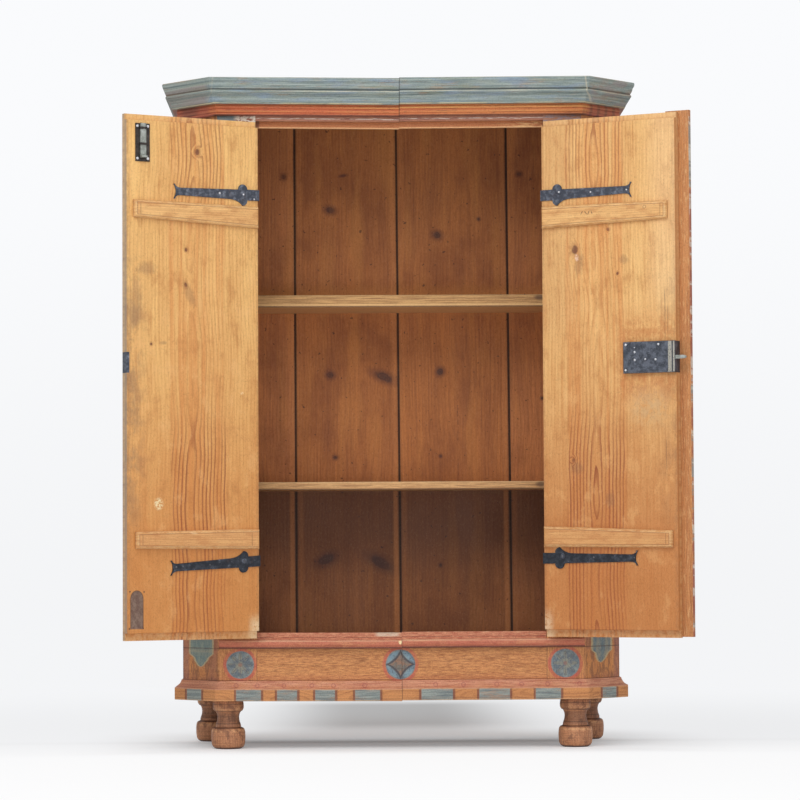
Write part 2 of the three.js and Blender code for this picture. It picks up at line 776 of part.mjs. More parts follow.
// The lock's case, its fore plate let into the leaf's edge, with the channel that the bolt runs in.
function lockCase() {
  const outline = outlineOf([
    [doorEnd - lock.length, lockBottom],
    [doorEnd, lockBottom],
    [doorEnd, lockTop],
    [doorEnd - lock.length, lockTop],
  ]);
  const stepShares = [[0, 0], [0, 1 - lock.edge / lock.depth], [1, 1]];
  const steps = stepShares.map(([inset, height]) => [inset * lock.edge, height * lock.depth]);
  const face = innerFace + halfGap;
  const fore = box(
    [doorEnd - forePlate.thickness, innerFace - forePlate.onEdge, lockBottom],
    [doorEnd, face + lock.depth / 2, lockTop],
  );
  const { low, high } = boltCorners();
  const channel = box(
    [low[0] - lockBolt.throw, low[1], low[2]],
    [doorEnd + cutOverrun, high[1], high[2]],
    jointGap,
  );
  return without(joined(mouldedPlate(outline, face, steps), fore), channel);
}

function boltCorners() {
  const bottom = boltHeight - lockBolt.width / 2;
  const near = innerFace + lockBolt.fromDoor;
  return {
    low: [doorEnd - lockBolt.hidden, near, bottom],
    high: [doorEnd + lockBolt.throw, near + lockBolt.thickness, bottom + lockBolt.width],
  };
}

// The bolt, thrown. Its tip is rounded.
function thrownBolt() {
  const { low, high } = boltCorners();
  const outline = new THREE.Path();
  outline.moveTo(low[0], low[2]);
  outline.lineTo(high[0] - lockBolt.width, low[2]);
  outline.quadraticCurveTo(high[0], low[2], high[0], boltHeight);
  outline.quadraticCurveTo(high[0], high[2], high[0] - lockBolt.width, high[2]);
  outline.lineTo(low[0], high[2]);
  return plate(outline.getPoints(4), low[1], high[1]);
}

// The strike plate wraps the edge of the left-hand leaf, and the lock's bolt passes behind it.
function strike() {
  const { thickness, onFace } = strikePlate;
  const section = outlineOf([
    [doorEnd - thickness, outerFace],
    [doorEnd, outerFace],
    [doorEnd, innerFace],
    [doorEnd - onFace, innerFace],
    [doorEnd - onFace, innerFace - thickness],
    [doorEnd - thickness, innerFace - thickness],
  ]);
  return upright(section, strikeBottom, strikeTop);
}

const boltMiddle = doorEnd - boltPlate.fromEdge - boltPlate.width / 2;
const boltPlateTop = doorTop - boltPlate.underHead;
const boltPlateBottom = boltPlateTop - boltPlate.height;
const boltFace = innerFace + halfGap + boltPlate.thickness; // the plate's face, which the bolt slides on

// The back plate of the slide bolt, with the two keepers that hold the bar.
function boltPlateWithKeepers() {
  const low = innerFace + halfGap;
  const back = box(
    [boltMiddle - boltPlate.width / 2, low, boltPlateBottom],
    [boltMiddle + boltPlate.width / 2, boltFace, boltPlateTop],
  );
  const inside = slideBolt.width / 2 + jointGap;
  const outside = inside + keeper.wall;
  const outer = boltFace + slideBolt.thickness + 2 * jointGap + keeper.wall;
  const feet = [boltPlateBottom + keeper.lower, boltPlateBottom + keeper.upper];
  const bridges = feet.flatMap((bottom) => [
    box([boltMiddle - outside, low, bottom], [boltMiddle - inside, outer, bottom + keeper.height]),
    box([boltMiddle + inside, low, bottom], [boltMiddle + outside, outer, bottom + keeper.height]),
    box(
      [boltMiddle - outside, outer - keeper.wall, bottom],
      [boltMiddle + outside, outer, bottom + keeper.height],
    ),
    box(
      [boltMiddle - outside - keeper.foot, low, bottom],
      [boltMiddle - outside + keeper.wall / 2, boltFace + keeper.wall / 2, bottom + keeper.height],
    ),
    box(
      [boltMiddle + outside - keeper.wall / 2, low, bottom],
      [boltMiddle + outside + keeper.foot, boltFace + keeper.wall / 2, bottom + keeper.height],
    ),
  ]);
  return joined(back, ...bridges);
}

// The bar of the slide bolt, drawn down. Its lower end turns out as a tab for the thumb.
function slidingBar() {
  const near = boltFace + jointGap;
  const far = near + slideBolt.thickness;
  const left = boltMiddle - slideBolt.width / 2;
  const right = boltMiddle + slideBolt.width / 2;
  const bottom = boltPlateBottom + slideBolt.drawn;
  const bar = box([left, near, bottom], [right, far, boltPlateTop]);
  const tab = box([left, near, bottom], [right, far + slideBolt.tab, bottom + slideBolt.thickness]);
  return joined(bar, tab);
}

function piece(name, geometry, material) {
  const mesh = new THREE.Mesh(geometry, material);
  mesh.name = name;
  return mesh;
}

function doorGroup(side) {
  const group = new THREE.Group();
  group.position.set(pinX, -pin.fromFace, 0);
  group.rotation.z = openAngle;
  group.scale.x = -1; // the door's own x runs towards the seam
  const leaf = side === "left" ? leftLeaf() : rightLeaf();
  group.add(piece(`door_${side}`, leaf, woods.pine));
  for (const level of ["upper", "lower"]) {
    group.add(piece(`strap_hinge_${level}_${side}`, strapHinge(hinges[side][level]), iron));
    group.add(piece(`batten_${level}_${side}`, doorBatten(battens[side][level]), woods.pine));
  }
  if (side === "left") {
    group.add(piece("strike_plate", strike(), iron));
    group.add(piece("slide_bolt_plate", boltPlateWithKeepers(), iron));
    group.add(piece("slide_bolt", slidingBar(), steel));
  } else {
    group.add(piece("astragal", meetingStrip(), woods.rustPaint));
    group.add(piece("lock_case", lockCase(), iron));
    group.add(piece("lock_bolt", thrownBolt(), steel));
  }
  return group;
}

// One half of the case, made for the right-hand side and mirrored for the left.
function caseHalf(side) {
  const head = headSeamDrop[side];
  const base = baseSeamDrop[side];
  const rail = side === "left" ? wornBottomRail(base) : bottomRail(base);
  const mouldings = [
    ["cornice", corniceShares, cornice.reach, corniceBottom, corniceTop, head, woods.bluePaint],
    ["bed_moulding", bedShares, bedMoulding.reach, bedBottom, corniceBottom, head, woods.redPaint],
    ["plinth", plinthShares, plinth.reach, footHeight, footHeight + plinth.height, base, woods.rustPaint],
  ].map(([name, shares, reach, bottom, top, drop, material]) => {
    const geometry = sunk(mitredMoulding(shares, reach, bottom, top), drop);
    return piece(`${name}_${side}`, geometry, material);
  });
  const pintles = ["upper", "lower"].map((level) =>
    piece(`pintle_${level}_${side}`, hingePintle(hinges[side][level]), iron),
  );
  const half = new THREE.Group();
  half.scale.x = side === "left" ? -1 : 1;
  half.add(
    piece(`stile_${side}`, stile(hinges[side], head), woods.rustPaint),
    piece(`corner_board_${side}`, cornerBoard(head), woods.rustPaint),
    piece(`side_board_${side}`, sideBoard(), woods.rustPaint),
    piece(`bottom_rail_${side}`, rail, woods.rustPaint),
    piece(`head_rail_${side}`, headBoard(head), woods.rustPaint),
    piece(`sill_moulding_${side}`, sillStrip(base), woods.redPaint),
    piece(`floor_board_${side}`, floorHalf(base), woods.agedPine),
    piece(`top_board_${side}`, topHalf(head), woods.agedPine),
    piece(`corner_block_front_${side}`, frontBlock(), woods.agedPine),
    piece(`corner_block_rear_${side}`, rearBlock(), woods.agedPine),
    piece(`foot_front_${side}`, turnedFoot(frontFootPlace), woods.turned),
    piece(`foot_rear_${side}`, turnedFoot(rearFootPlace), woods.turned),
    ...mouldings,
    ...pintles,
    doorGroup(side),
  );
  return half;
}

const cupboard = new THREE.Group();
cupboard.name = "cupboard";
cupboard.add(caseHalf("left"), caseHalf("right"));
backBoards().forEach((geometry, i) => {
  cupboard.add(piece(`back_board_${i + 1}`, geometry, woods.agedPine));
});
cupboard.add(piece("shelf_upper", shelf(upperShelfTop, upperShelf), woods.agedPine));
cupboard.add(piece("shelf_lower", shelf(lowerShelfTop, lowerShelf), woods.agedPine));

// The origin is on the floor, in the middle of the space that the cupboard takes with its doors open.
cupboard.updateMatrixWorld(true);
const space = new THREE.Box3().setFromObject(cupboard, true);
const middle = space.getCenter(new THREE.Vector3());
cupboard.position.set(-middle.x, -middle.y, -space.min.z);

export default cupboard;
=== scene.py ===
# %% [markdown]
# # A painted pine cupboard, standing open
# This notebook dresses an old painted cupboard: bare honey-coloured pine inside its two open
# doors, thin rust, red and blue-grey paint on its face, and blackened iron on the doors.
# The solids come ready made, in metres, with the floor at z = 0 and the back towards +y. They
# are never moved here. They only get their finish, and the small nails that hold the iron.

# %% The cupboard's solids
import json
import math
import bpy
import bmesh
from mathutils import Matrix, Vector


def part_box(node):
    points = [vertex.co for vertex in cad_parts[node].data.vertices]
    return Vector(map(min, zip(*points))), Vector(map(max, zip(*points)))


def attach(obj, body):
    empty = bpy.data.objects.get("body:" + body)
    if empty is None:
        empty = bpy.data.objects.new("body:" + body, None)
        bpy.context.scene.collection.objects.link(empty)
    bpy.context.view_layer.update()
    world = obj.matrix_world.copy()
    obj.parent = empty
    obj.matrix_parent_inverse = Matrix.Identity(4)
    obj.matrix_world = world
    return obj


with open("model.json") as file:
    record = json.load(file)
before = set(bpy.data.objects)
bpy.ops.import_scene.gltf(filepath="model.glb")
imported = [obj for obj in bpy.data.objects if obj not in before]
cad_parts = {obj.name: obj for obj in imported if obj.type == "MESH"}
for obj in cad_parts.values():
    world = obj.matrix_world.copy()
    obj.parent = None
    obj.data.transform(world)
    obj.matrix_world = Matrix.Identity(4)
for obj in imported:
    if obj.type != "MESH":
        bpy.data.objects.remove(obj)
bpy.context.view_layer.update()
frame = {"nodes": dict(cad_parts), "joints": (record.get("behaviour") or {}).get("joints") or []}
nodes = frame["nodes"]

# %% [markdown]
# ## Where things are
# All the places in this notebook are in millimetres, from the seam between the cupboard's two
# halves and from its front face. One function turns them into the solids' own frame. Each
# door has its own directions as well: along the leaf from its hinge edge, and through the
# leaf from its painted face to its bare one.

# %% Places on the case
MM = 0.001
seam_x = (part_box("stile_left")[1].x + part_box("stile_right")[0].x) / 2
face_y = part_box("stile_left")[0].y


def place(x, y, z):
    return Vector((seam_x + x * MM, face_y + y * MM, z * MM))


def added(name, data):
    """A new object of the scene."""
    made = bpy.data.objects.new(name, data)
    bpy.context.scene.collection.objects.link(made)
    return made


print("the seam is at x =", round(seam_x, 4), "and the face at y =", round(face_y, 4))

# %% Places on the open doors
OPEN = math.radians(152)
PIN_TO_EDGE = 7
PIN_TO_FACE = 8.5
LEAF = 28
hinges = [joint for joint in frame["joints"] if joint["type"] == "hinge"]
hinge_pins = {hinge["name"].split("_")[0]: hinge["pos_m"] for hinge in hinges}


class Leaf:
    """The directions of one open door."""

    def __init__(self, side):
        outwards = 1 if side == "right" else -1
        self.pin = Vector((hinge_pins[side][0], hinge_pins[side][1], 0))
        self.along = Vector((-outwards * math.cos(OPEN), -math.sin(OPEN), 0))
        self.inwards = Vector((-outwards * math.sin(OPEN), math.cos(OPEN), 0))

    def place(self, along, through, z):
        across = self.along * (along + PIN_TO_EDGE) + self.inwards * (through + PIN_TO_FACE)
        return self.pin + across * MM + Vector((0, 0, z * MM))


leaves = {side: Leaf(side) for side in ("left", "right")}
print("hinge pins at", {side: tuple(round(v, 3) for v in leaf.pin) for side, leaf in leaves.items()})

# %% [markdown]
# ## The camera
# The photograph was taken from far off with a long lens, which keeps the cupboard's uprights
# nearly parallel. The place, the aim and the lens were fitted to the cupboard's corners.

# %% Camera
LENS_PIXELS = 3089.92
IMAGE_WIDTH = 800
STAND = Vector((-138.7, -8656.9, 569.8))
HEADING, TILT, LEAN = -0.905, 2.675, -0.302

camera_data = bpy.data.cameras.new("camera")
camera_data.sensor_width = 36
camera_data.lens = LENS_PIXELS / IMAGE_WIDTH * camera_data.sensor_width
camera_data.clip_end = 100
camera = added("camera", camera_data)
camera.matrix_world = (
    Matrix.Translation(place(*STAND))
    @ Matrix.Rotation(math.radians(HEADING), 4, "Z")
    @ Matrix.Rotation(math.radians(90 + TILT), 4, "X")
    @ Matrix.Rotation(math.radians(LEAN), 4, "Z")
)
bpy.context.scene.camera = camera
print("lens", round(camera_data.lens, 1), "mm")

# %% [markdown]
# ## Shader maths that reads like arithmetic
# A finish is a graph of small nodes. A socket is wrapped in a class that knows + - * / and a
# few functions of one number, so that an expression such as `1 - worn * 0.5` adds its own Math
# nodes. Colours don't go through these, because a Math node would turn them grey.


# %% A socket that takes part in sums
def sum_of(operation, swapped=False):
    """A method of Tone that adds one Math node."""

    def method(tone, other):
        return tone.maths(operation, *((other, tone) if swapped else (tone, other)))

    return method


class Tone:
    """One number that varies over a surface."""

    def __init__(self, recipe, socket):
        self.recipe = recipe
        self.socket = socket

    def maths(self, operation, *values):
        return self.recipe.node("ShaderNodeMath", {"operation": operation}, dict(enumerate(values)))

    __add__, __radd__ = sum_of("ADD"), sum_of("ADD", swapped=True)
    __sub__, __rsub__ = sum_of("SUBTRACT"), sum_of("SUBTRACT", swapped=True)
    __mul__, __rmul__ = sum_of("MULTIPLY"), sum_of("MULTIPLY", swapped=True)
    __truediv__, __pow__, __mod__ = sum_of("DIVIDE"), sum_of("POWER"), sum_of("FLOORED_MODULO")
    least, most = sum_of("MINIMUM"), sum_of("MAXIMUM")

    def __abs__(self):
        return self.maths("ABSOLUTE", self)

    def root(self):
        return self.maths("SQRT", self)

    def rise(self, low, high):
        """0 below low, 1 above high, and smooth between them."""
        settings = {"interpolation_type": "SMOOTHSTEP"}
        return self.recipe.node("ShaderNodeMapRange", settings, {0: self, 1: low, 2: high})

    def fall(self, low, high):
        return 1 - self.rise(low, high)

    def between(self, low, high, soft=1):
        return self.rise(low - soft, low + soft) * self.fall(high - soft, high + soft)

    def line(self, at, half_width, soft=0.6):
        return self.between(at - half_width, at + half_width, soft)


print("sums of sockets ready")

# %% [markdown]
# ## A recipe and a finish
# A recipe owns a tree of nodes and has one method that adds a node of any kind: its settings
# first, then its inputs, as values or as links. A finish is the recipe of one material, and
# its colour is built up in layers. Three numbers from 0 to 255 are a colour as it looks on a
# screen.


# %% Recipe
def seen(red, green, blue):
    """A colour as it looks on a screen, turned into the light that the renderer works with."""
    shares = [value / 255 for value in (red, green, blue)]
    return (*[v / 12.92 if v <= 0.04045 else ((v + 0.055) / 1.055) ** 2.4 for v in shares], 1)


class Recipe:
    def __init__(self, tree):
        self.tree = tree
        self.tree.nodes.clear()

    def node(self, kind, settings=None, inputs=None, output=0):
        made = self.tree.nodes.new(kind)
        for key, value in (settings or {}).items():
            setattr(made, key, value)
        for key, value in (inputs or {}).items():
            if isinstance(value, Tone):
                self.tree.links.new(value.socket, made.inputs[key])
            elif isinstance(value, tuple) and len(value) == 3:
                made.inputs[key].default_value = seen(*value)
            else:
                made.inputs[key].default_value = value
        return Tone(self, made.outputs[output]) if made.outputs else made

    def noise(self, x, y, z, detail=3, roughness=0.5, scale=1):
        where = self.node("ShaderNodeCombineXYZ", inputs={0: x, 1: y, 2: z})
        inputs = {"Vector": where, "Scale": scale, "Detail": detail, "Roughness": roughness}
        return self.node("ShaderNodeTexNoise", inputs=inputs)

    def mix(self, amount, first, second, blend="MIX"):
        settings = {"data_type": "RGBA", "blend_type": blend}
        return self.node("ShaderNodeMix", settings, {0: amount, 6: first, 7: second}, output=2)

    def shown(self):
        """1 where the camera sees a surface directly, in a mirror or through glass."""
        camera_ray, glossy_ray, passed_ray = [self.node("ShaderNodeLightPath", output=i) for i in (0, 3, 6)]
        return camera_ray.most(glossy_ray).most(passed_ray)


print("recipe ready")


# %% Finish
class Finish(Recipe):
    """The recipe of one material. It keeps the colour that has been laid so far."""

    def __init__(self, name, **constants):
        self.material = bpy.data.materials.new(name)
        self.material.use_nodes = True
        super().__init__(self.material.node_tree)
        values = {key.replace("_", " "): value for key, value in constants.items()}
        body = self.node("ShaderNodeBsdfPrincipled", inputs=values)
        self.shader = body.socket.node
        self.node("ShaderNodeOutputMaterial", inputs={0: body})

    def shade(self, socket, value):
        self.tree.links.new(value.socket, self.shader.inputs[socket])

    def lay(self, mask, colour):
        """Lays a colour over the one that is there, where the mask is 1."""
        self.colour = self.mix(mask, self.colour, colour)

    def coat(self, colour, mask, bare, cover=0.85):
        """Lays a coat of paint, which has gone where bare is 1."""
        self.lay(mask * (1 - bare) * cover, colour)

    def only(self, mask, paint, *details):
        """Lets paint lay its colours only where the mask is 1."""
        before = self.colour
        paint(self, *details)
        self.colour = self.mix(mask, before, self.colour)

    def grit(self, x, y, z, strength):
        """Fine dark and light specks, such as dust in the pores and scratches in the paint."""
        speck = self.noise(x, y, z, 3, 0.75, scale=0.3)
        dark = self.mix(speck.rise(0.5, 0.7) * strength, self.colour, (150, 130, 118), "MULTIPLY")
        self.colour = self.mix(speck.fall(0.3, 0.48) * strength, dark, (112, 96, 74), "SCREEN")

    def done(self, roughness, height, depth=0.35):
        """Joins colour and gloss to the shader, and raises the surface by up to depth millimetres."""
        self.shade("Base Color", self.colour)
        if roughness:
            self.shade("Roughness", roughness)
        inputs = {"Strength": 1, "Distance": depth * MM, "Height": height}
        self.shade("Normal", self.node("ShaderNodeBump", inputs=inputs))
        return self.material

    def parts(self):
        here = self.node("ShaderNodeTexCoord", output=3)
        return [self.node("ShaderNodeSeparateXYZ", inputs={0: here}, output=i) for i in range(3)]


def on_case(name, **constants):
    """A finish, and x from the seam, y from the front face and z from the floor, in millimetres."""
    f = Finish(name, **constants)
    x, y, z = f.parts()
    return f, (x - seam_x) / MM, (y - face_y) / MM, z / MM


def on_leaf(name, side, **constants):
    """A finish, and the places along the leaf, through it from its painted face, and up."""
    f, leaf = Finish(name, **constants), leaves[side]
    x, y, z = f.parts()
    x, y = (x - leaf.pin.x) / MM, (y - leaf.pin.y) / MM
    along = x * leaf.along.x + y * leaf.along.y - PIN_TO_EDGE
    through = x * leaf.inwards.x + y * leaf.inwards.y - PIN_TO_FACE
    return f, along, through, z / MM


def named(*starts):
    return [name for name in nodes if name.startswith(starts)]


def dress(finish, *names):
    for name in names:
        nodes[name].material_slots[0].material = finish


print("finish class ready")

# %% [markdown]
# ## Pine
# A flat-sawn pine board shows the tree's rings where the saw met them: wide arches over the
# heart, and close straight lines towards the board's edges. So the grain is the distance to a
# heart line behind the face, which wanders up the board, counted off in rings. Each ring ends
# in a thin dark line of late wood, and a knot pushes the rings aside. Long soft streaks and a
# fine fibre lie over all that.


# %% Knots
def spot(across, along, at_across, at_along, wide, tall, lean=0):
    """1 at the edge of a leaning ellipse, less inside it and more outside."""
    cosine, sine = math.cos(math.radians(lean)), math.sin(math.radians(lean))
    dx, dz = across - at_across, along - at_along
    side = (dx * cosine - dz * sine) / wide
    up = (dx * sine + dz * cosine) / tall
    return (side * side + up * up).root()


def lay_spots(f, across, along, spots, low, high, strength, colour):
    for one in spots:
        f.lay(spot(across, along, *one).fall(low, high) * strength, colour)


print("knots ready")


# %% Grain
def pine(f, along, across, through, heart, ring, seed, light, dark, knots=(), lines=0.6, streak=1):
    """Lays the board's colour, keeps its lines of late wood, and returns the height of its grain."""
    wander = f.noise(along * 0.0013, across * 0.001, seed, 2) - 0.5
    swing = f.noise(along * 0.0021, across * 0.002, seed + 31, 2) - 0.5
    ripple = f.noise(along * 0.012, across * 0.035, seed + 7) - 0.5
    off_heart = across - heart[0] + wander * 110
    depth = heart[1] - through * 0.6 + swing * 110
    radius = (off_heart * off_heart + depth * depth).root() + ripple * (ring * 0.55)
    reaches = [spot(across, along, *knot) for knot in knots]
    for reach in reaches:
        radius = radius + reach.fall(0.4, 3) * (ring * 1.6)
    turn = (radius / ring) % 1
    f.late = late = turn.rise(0.4, 0.92) * turn.fall(0.93, 1)
    streaks = f.noise(across * 0.16, seed + 3, along * 0.0035, 5, 0.68)
    fibre = f.noise(across * 0.34, through * 0.4, along * 0.02, 3, 0.7)
    band = f.noise(across * 0.018, seed, along * 0.0016)
    grain = (streaks - 0.5) * (2.2 * streak) + (fibre - 0.5) * 0.9 + (band - 0.5) * 1.1 + 0.3
    f.colour = f.mix(late * lines + grain, light, dark)
    ragged = (f.noise(across * 0.09, along * 0.06, seed + 11) - 0.5) * 0.8
    halo, heartwood = (146, 80, 40), (52, 28, 22)
    for edge in [reach + ragged for reach in reaches]:
        f.lay(edge.fall(0.7, 2.6) * 0.5, halo)
        f.lay(edge.fall(0.7, 1.15) * 0.9, heartwood)
        f.lay(edge.between(0.35, 0.62, 0.1) * 0.3, halo)
    return late * 0.5 + fibre * 0.4 + streaks * 0.5


print("pine ready")

# %% [markdown]
# ## Dirt, wear and thin paint
# The paint is thin distemper that has worn through along the edges. So every painted part
# starts as pine, and each coat is laid through a mask chipped by two noises: broad rubbed
# areas, and fine scratches that follow the run of the board.


# %% Coats of paint
def rubbed(f, run, rise, seed, amount=0.5, grain=0.03):
    """Where a coat has gone: 1 is bare. The scratches follow the run of the board."""
    broad = f.noise(run * 0.01, rise * 0.03, seed, 4, 0.6)
    fine = f.noise(run * grain, rise * 0.45, seed + 5, 4, 0.7)
    both = broad * 0.5 + fine * 0.5
    middle = 0.72 - amount * 0.4
    return both.rise(middle - 0.05, middle + 0.07)


BLUE_GREY = (118, 140, 142)
SAGE = (158, 164, 140)
RED = (176, 84, 66)
RUST = (186, 118, 68)
CHALK = (226, 218, 204)
print("paints ready")

# %% [markdown]
# ## The doors
# Each leaf is bare on the inside: honey-coloured pine with a redder heart, knots, old stains
# and grey handling marks near the free edge. In the pale sapwood the rings hardly show. In the
# heart they are dark orange lines, most of all in the lower half.

# %% What each leaf has
# A knot or a smudge has its place along and up the leaf, half its width and height, and its lean.
# The heart has its place across the leaf and its depth. Its band is redder. Amber lies low, and the leaf is
# darker there: partly the wood's own colour, partly painted shade.
LEAF_KNOTS = {
    "left": [(187, 1658, 7, 9), (221, 1385, 4, 5), (222, 1288, 4, 5.5, 20), (327, 1122, 3.4, 3.4)],
    "right": [(100, 1387, 9, 12), (200, 1439, 4.4, 5), (91, 801, 5, 6), (228, 1315, 3.4, 4.4, 20)],
}
LEAF_SMUDGES = {
    "left": [(210, 1262, 12, 34, 24), (291, 1126, 12, 4), (340, 1330, 26, 16), (372, 1240, 14, 70)],
    "right": [(246, 1353, 13, 11, 20), (112, 1345, 12, 30, 10), (100, 780, 20, 16), (200, 690, 12, 20)],
}
LEAF_HEART = {"left": (203, 34), "right": (166, 30)}
HEART_BAND = {"left": (104, 268), "right": (72, 250)}
SAPWOOD = {"left": (240, 192, 120), "right": (242, 196, 128)}
SAPWOOD_LATE = (206, 146, 82)
HEARTWOOD, HEART_LATE = (214, 138, 72), (140, 66, 30)
AMBER_AND_SHADE = {"left": (0.68, (198, 120, 50)), "right": (0.82, (188, 114, 56))}
print("knots on the leaves:", {side: len(knots) for side, knots in LEAF_KNOTS.items()})


# %% Bare face of a leaf
def bare_leaf(f, side, along, through, z, seed):
    height = pine(
        f, z, along, through, LEAF_HEART[side], 10.5, seed, SAPWOOD[side], SAPWOOD_LATE, LEAF_KNOTS[side],
        lines=0.24,
    )
    low, high = HEART_BAND[side]
    drift = f.noise(along * 0.002, z * 0.002, seed + 2, 2) * 44 - 22
    heartwood = (along + drift).between(low, high, 5)
    streaks = f.noise(along * 0.07, z * 0.0016, seed + 9, 4, 0.6).rise(0.38, 0.66)
    low_heart = z.fall(480, 1000) * (0.1 if side == "left" else 0.34)
    f.lay(heartwood * (streaks * 0.55 + 0.04 + low_heart), HEARTWOOD)
    # Amber and darker towards the foot: partly the wood's own colour, partly painted shade for light that
    # falls off downwards.
    share, amber_and_shade = AMBER_AND_SHADE[side]
    f.lay(z.fall(480, 1350) * share, amber_and_shade)
    strong = z.fall(760, 1020) * 0.75 + z.rise(1460, 1600) * 0.45 + 0.15
    uneven = f.noise(along * 0.045, z * 0.0012, seed + 17, 2).rise(0.36, 0.56) * 0.65 + 0.35
    f.lay((heartwood * f.late * strong * uneven).least(0.9), HEART_LATE)
    lay_spots(f, along, z, LEAF_KNOTS[side], 0.5, 1.25, 0.6, (112, 62, 40))
    return height


def soiled(f, side, along, z, seed):
    """Smudges round the knots, handling marks and dirt along the edges."""
    mottle = f.noise(along * 0.02, z * 0.012, seed + 4, 5, 0.62)
    fine = f.noise(along * 0.12, z * 0.07, seed + 6, 3, 0.7)
    f.lay(mottle.rise(0.5, 0.7) * 0.42, (180, 112, 54))
    f.lay(mottle.fall(0.34, 0.46) * 0.3, (238, 186, 122))
    for smudge in LEAF_SMUDGES[side]:
        reach = spot(along, z, *smudge) + (fine - 0.5) * 1.6
        f.lay(reach.fall(0.5, 1.5) * 0.38, (134, 92, 62))
    handled = along.rise(320, 396) * z.between(640, 1330, 140) * mottle.rise(0.4, 0.6)
    touched = 1 if side == "left" else 0.45
    f.lay(handled * (0.2 + fine * 0.5) * touched, (128, 106, 86))
    # More orange and darker towards the foot: partly the wood's own colour, partly painted shade.
    f.lay(z.fall(380, 700) * 0.2, (190, 112, 48))
    edge_dirt = along.rise(384, 399) * 0.35 + along.fall(2, 10) * 0.4
    f.lay(edge_dirt * fine.rise(0.3, 0.6), (150, 100, 62))
    return mottle


print("bare leaf ready")


# %% [markdown]
# Some marks belong to one leaf. The left one has the dark shadow of a lost bolt with its nail
# holes, a pale scar and a worn corner. The right one has fine cracks and a brown bloom.


# %% Marks of one leaf
def left_leaf_marks(f, along, z, fine):
    side = (along - 370.5) / 18.5
    arch = ((z - 425) / 22).most(0)
    plate = (side * side + arch * arch).root().fall(0.9, 1.06) * z.rise(341, 345)
    f.lay(plate * (0.78 + fine * 0.2), f.mix(fine.rise(0.4, 0.6), (66, 58, 62), (116, 100, 92)))
    rim = (side * side + arch * arch).root().line(1, 0.06, 0.05) * z.rise(341, 345)
    f.lay(rim * 0.8, (52, 38, 34))
    holes = [(*hole, 2.6, 2.6) for hole in ((391, 445), (349, 444), (393, 344), (352, 345))]
    lay_spots(f, along, z, holes, 0.6, 1.1, 0.85, (52, 34, 26))
    torn = f.noise(along * 0.11, z * 0.11, 77, 4, 0.75)
    scar = spot(along, z, 305, 684, 17, 21).fall(0.5, 1) * torn.rise(0.45, 0.51)
    f.lay(scar * 0.85, (244, 226, 178))
    chip = spot(along, z, 51, 992, 6, 5).fall(0.6, 1) * torn.rise(0.42, 0.5)
    f.lay(chip * 0.7, (240, 214, 170))
    corner = along.fall(14, 40) * z.fall(345, 388) * torn.rise(0.36, 0.48)
    f.lay(corner * 0.6, (242, 220, 178))


def right_leaf_marks(f, along, z, fine):
    bend = (fine - 0.5) * 6
    crack = (along + bend).line(368, 0.9, 0.7) * z.between(1130, 1262, 8)
    crack = (along + bend).line(375.5, 0.7, 0.6) * z.between(1150, 1220, 8) + crack
    crack = (along + bend).line(369, 0.8, 0.6) * z.between(770, 850, 10) + crack
    f.lay(crack * 0.6, (104, 66, 40))
    bloom = z.between(960, 1190, 50) * along.between(225, 400, 24) * fine.rise(0.3, 0.62)
    f.lay(bloom * 0.65, (192, 116, 58))
    torn = f.noise(along * 0.1, z * 0.1, 79, 4, 0.75)
    resin = spot(along, z, 105, 1364, 8, 13, -15).fall(0.5, 1) * torn.rise(0.46, 0.52)
    f.lay(resin * 0.7, (240, 206, 184))
    corner = along.fall(10, 34) * z.fall(345, 400) * torn.rise(0.36, 0.48)
    f.lay(corner * 0.5, (242, 222, 186))
    dusty = z.between(900, 990, 40) * along.between(270, 370, 30) * fine.rise(0.3, 0.62)
    f.lay(along.fall(50, 130) * z.rise(1050, 1250) * 0.3, (188, 132, 84))
    f.lay(along.rise(290, 370) * z.rise(1150, 1300) * 0.3, (246, 208, 160))
    f.lay(dusty * 0.5, (206, 176, 132))


print("marks ready")


# %% [markdown]
# The painted face isn't in the photograph. It is finished like the case: a rust ground and
# two framed panels. The free edge has a grey-blue film on the left leaf and is orange-brown
# wood on the right one.


# %% Painted face and whole leaf
def outside_paint(f, along, through, z, seed):
    outside = through.fall(0.8, 2.2)
    bare = rubbed(f, z, along, seed + 20, amount=0.42)
    f.coat(RUST, outside, bare * 0.5, cover=0.75)
    for colour, (near, far), low, high in ((RED, (52, 348), 406, 974), (BLUE_GREY, (66, 334), 420, 960)):
        heights = z.between(low, high, 1.5) + z.between(low + 690, high + 690, 1.5)
        f.coat(colour, along.between(near, far, 1.5) * heights * outside, bare)
    return outside


def leaf_finish(side):
    f, along, through, z = on_leaf(f"door_pine_{side}", side)
    seed = 3 if side == "left" else 11
    height = bare_leaf(f, side, along, through, z, seed)
    mottle = soiled(f, side, along, z, seed)
    fine = f.noise(along * 0.08, z * 0.05, seed + 14, 4, 0.7)
    marks = left_leaf_marks if side == "left" else right_leaf_marks
    marks(f, along, z, fine)
    film = (156, 142, 126) if side == "left" else (196, 128, 72)
    f.lay(along.rise(399.2, 400.2) * (0.4 + fine * 0.4), film)
    lip = through.fall(15, 16) * fine.rise(0.35, 0.6)
    f.lay(lip * 0.4, (232, 194, 142))
    painted = outside_paint(f, along, through, z, seed)
    f.grit(along, through, z * 0.7, 0.28)
    return f.done(0.46 + mottle * 0.22 + painted * 0.1, height * (1 - painted * 0.4), 0.4)


for side in leaves:
    dress(leaf_finish(side), f"door_{side}")
print("leaves dressed")

# %% [markdown]
# ## The battens
# Two battens stiffen each leaf, narrow boards with straight grain that taper towards the free
# edge. A scratched line runs round each one. It is drawn from the batten's own corners, so
# that it follows the taper.

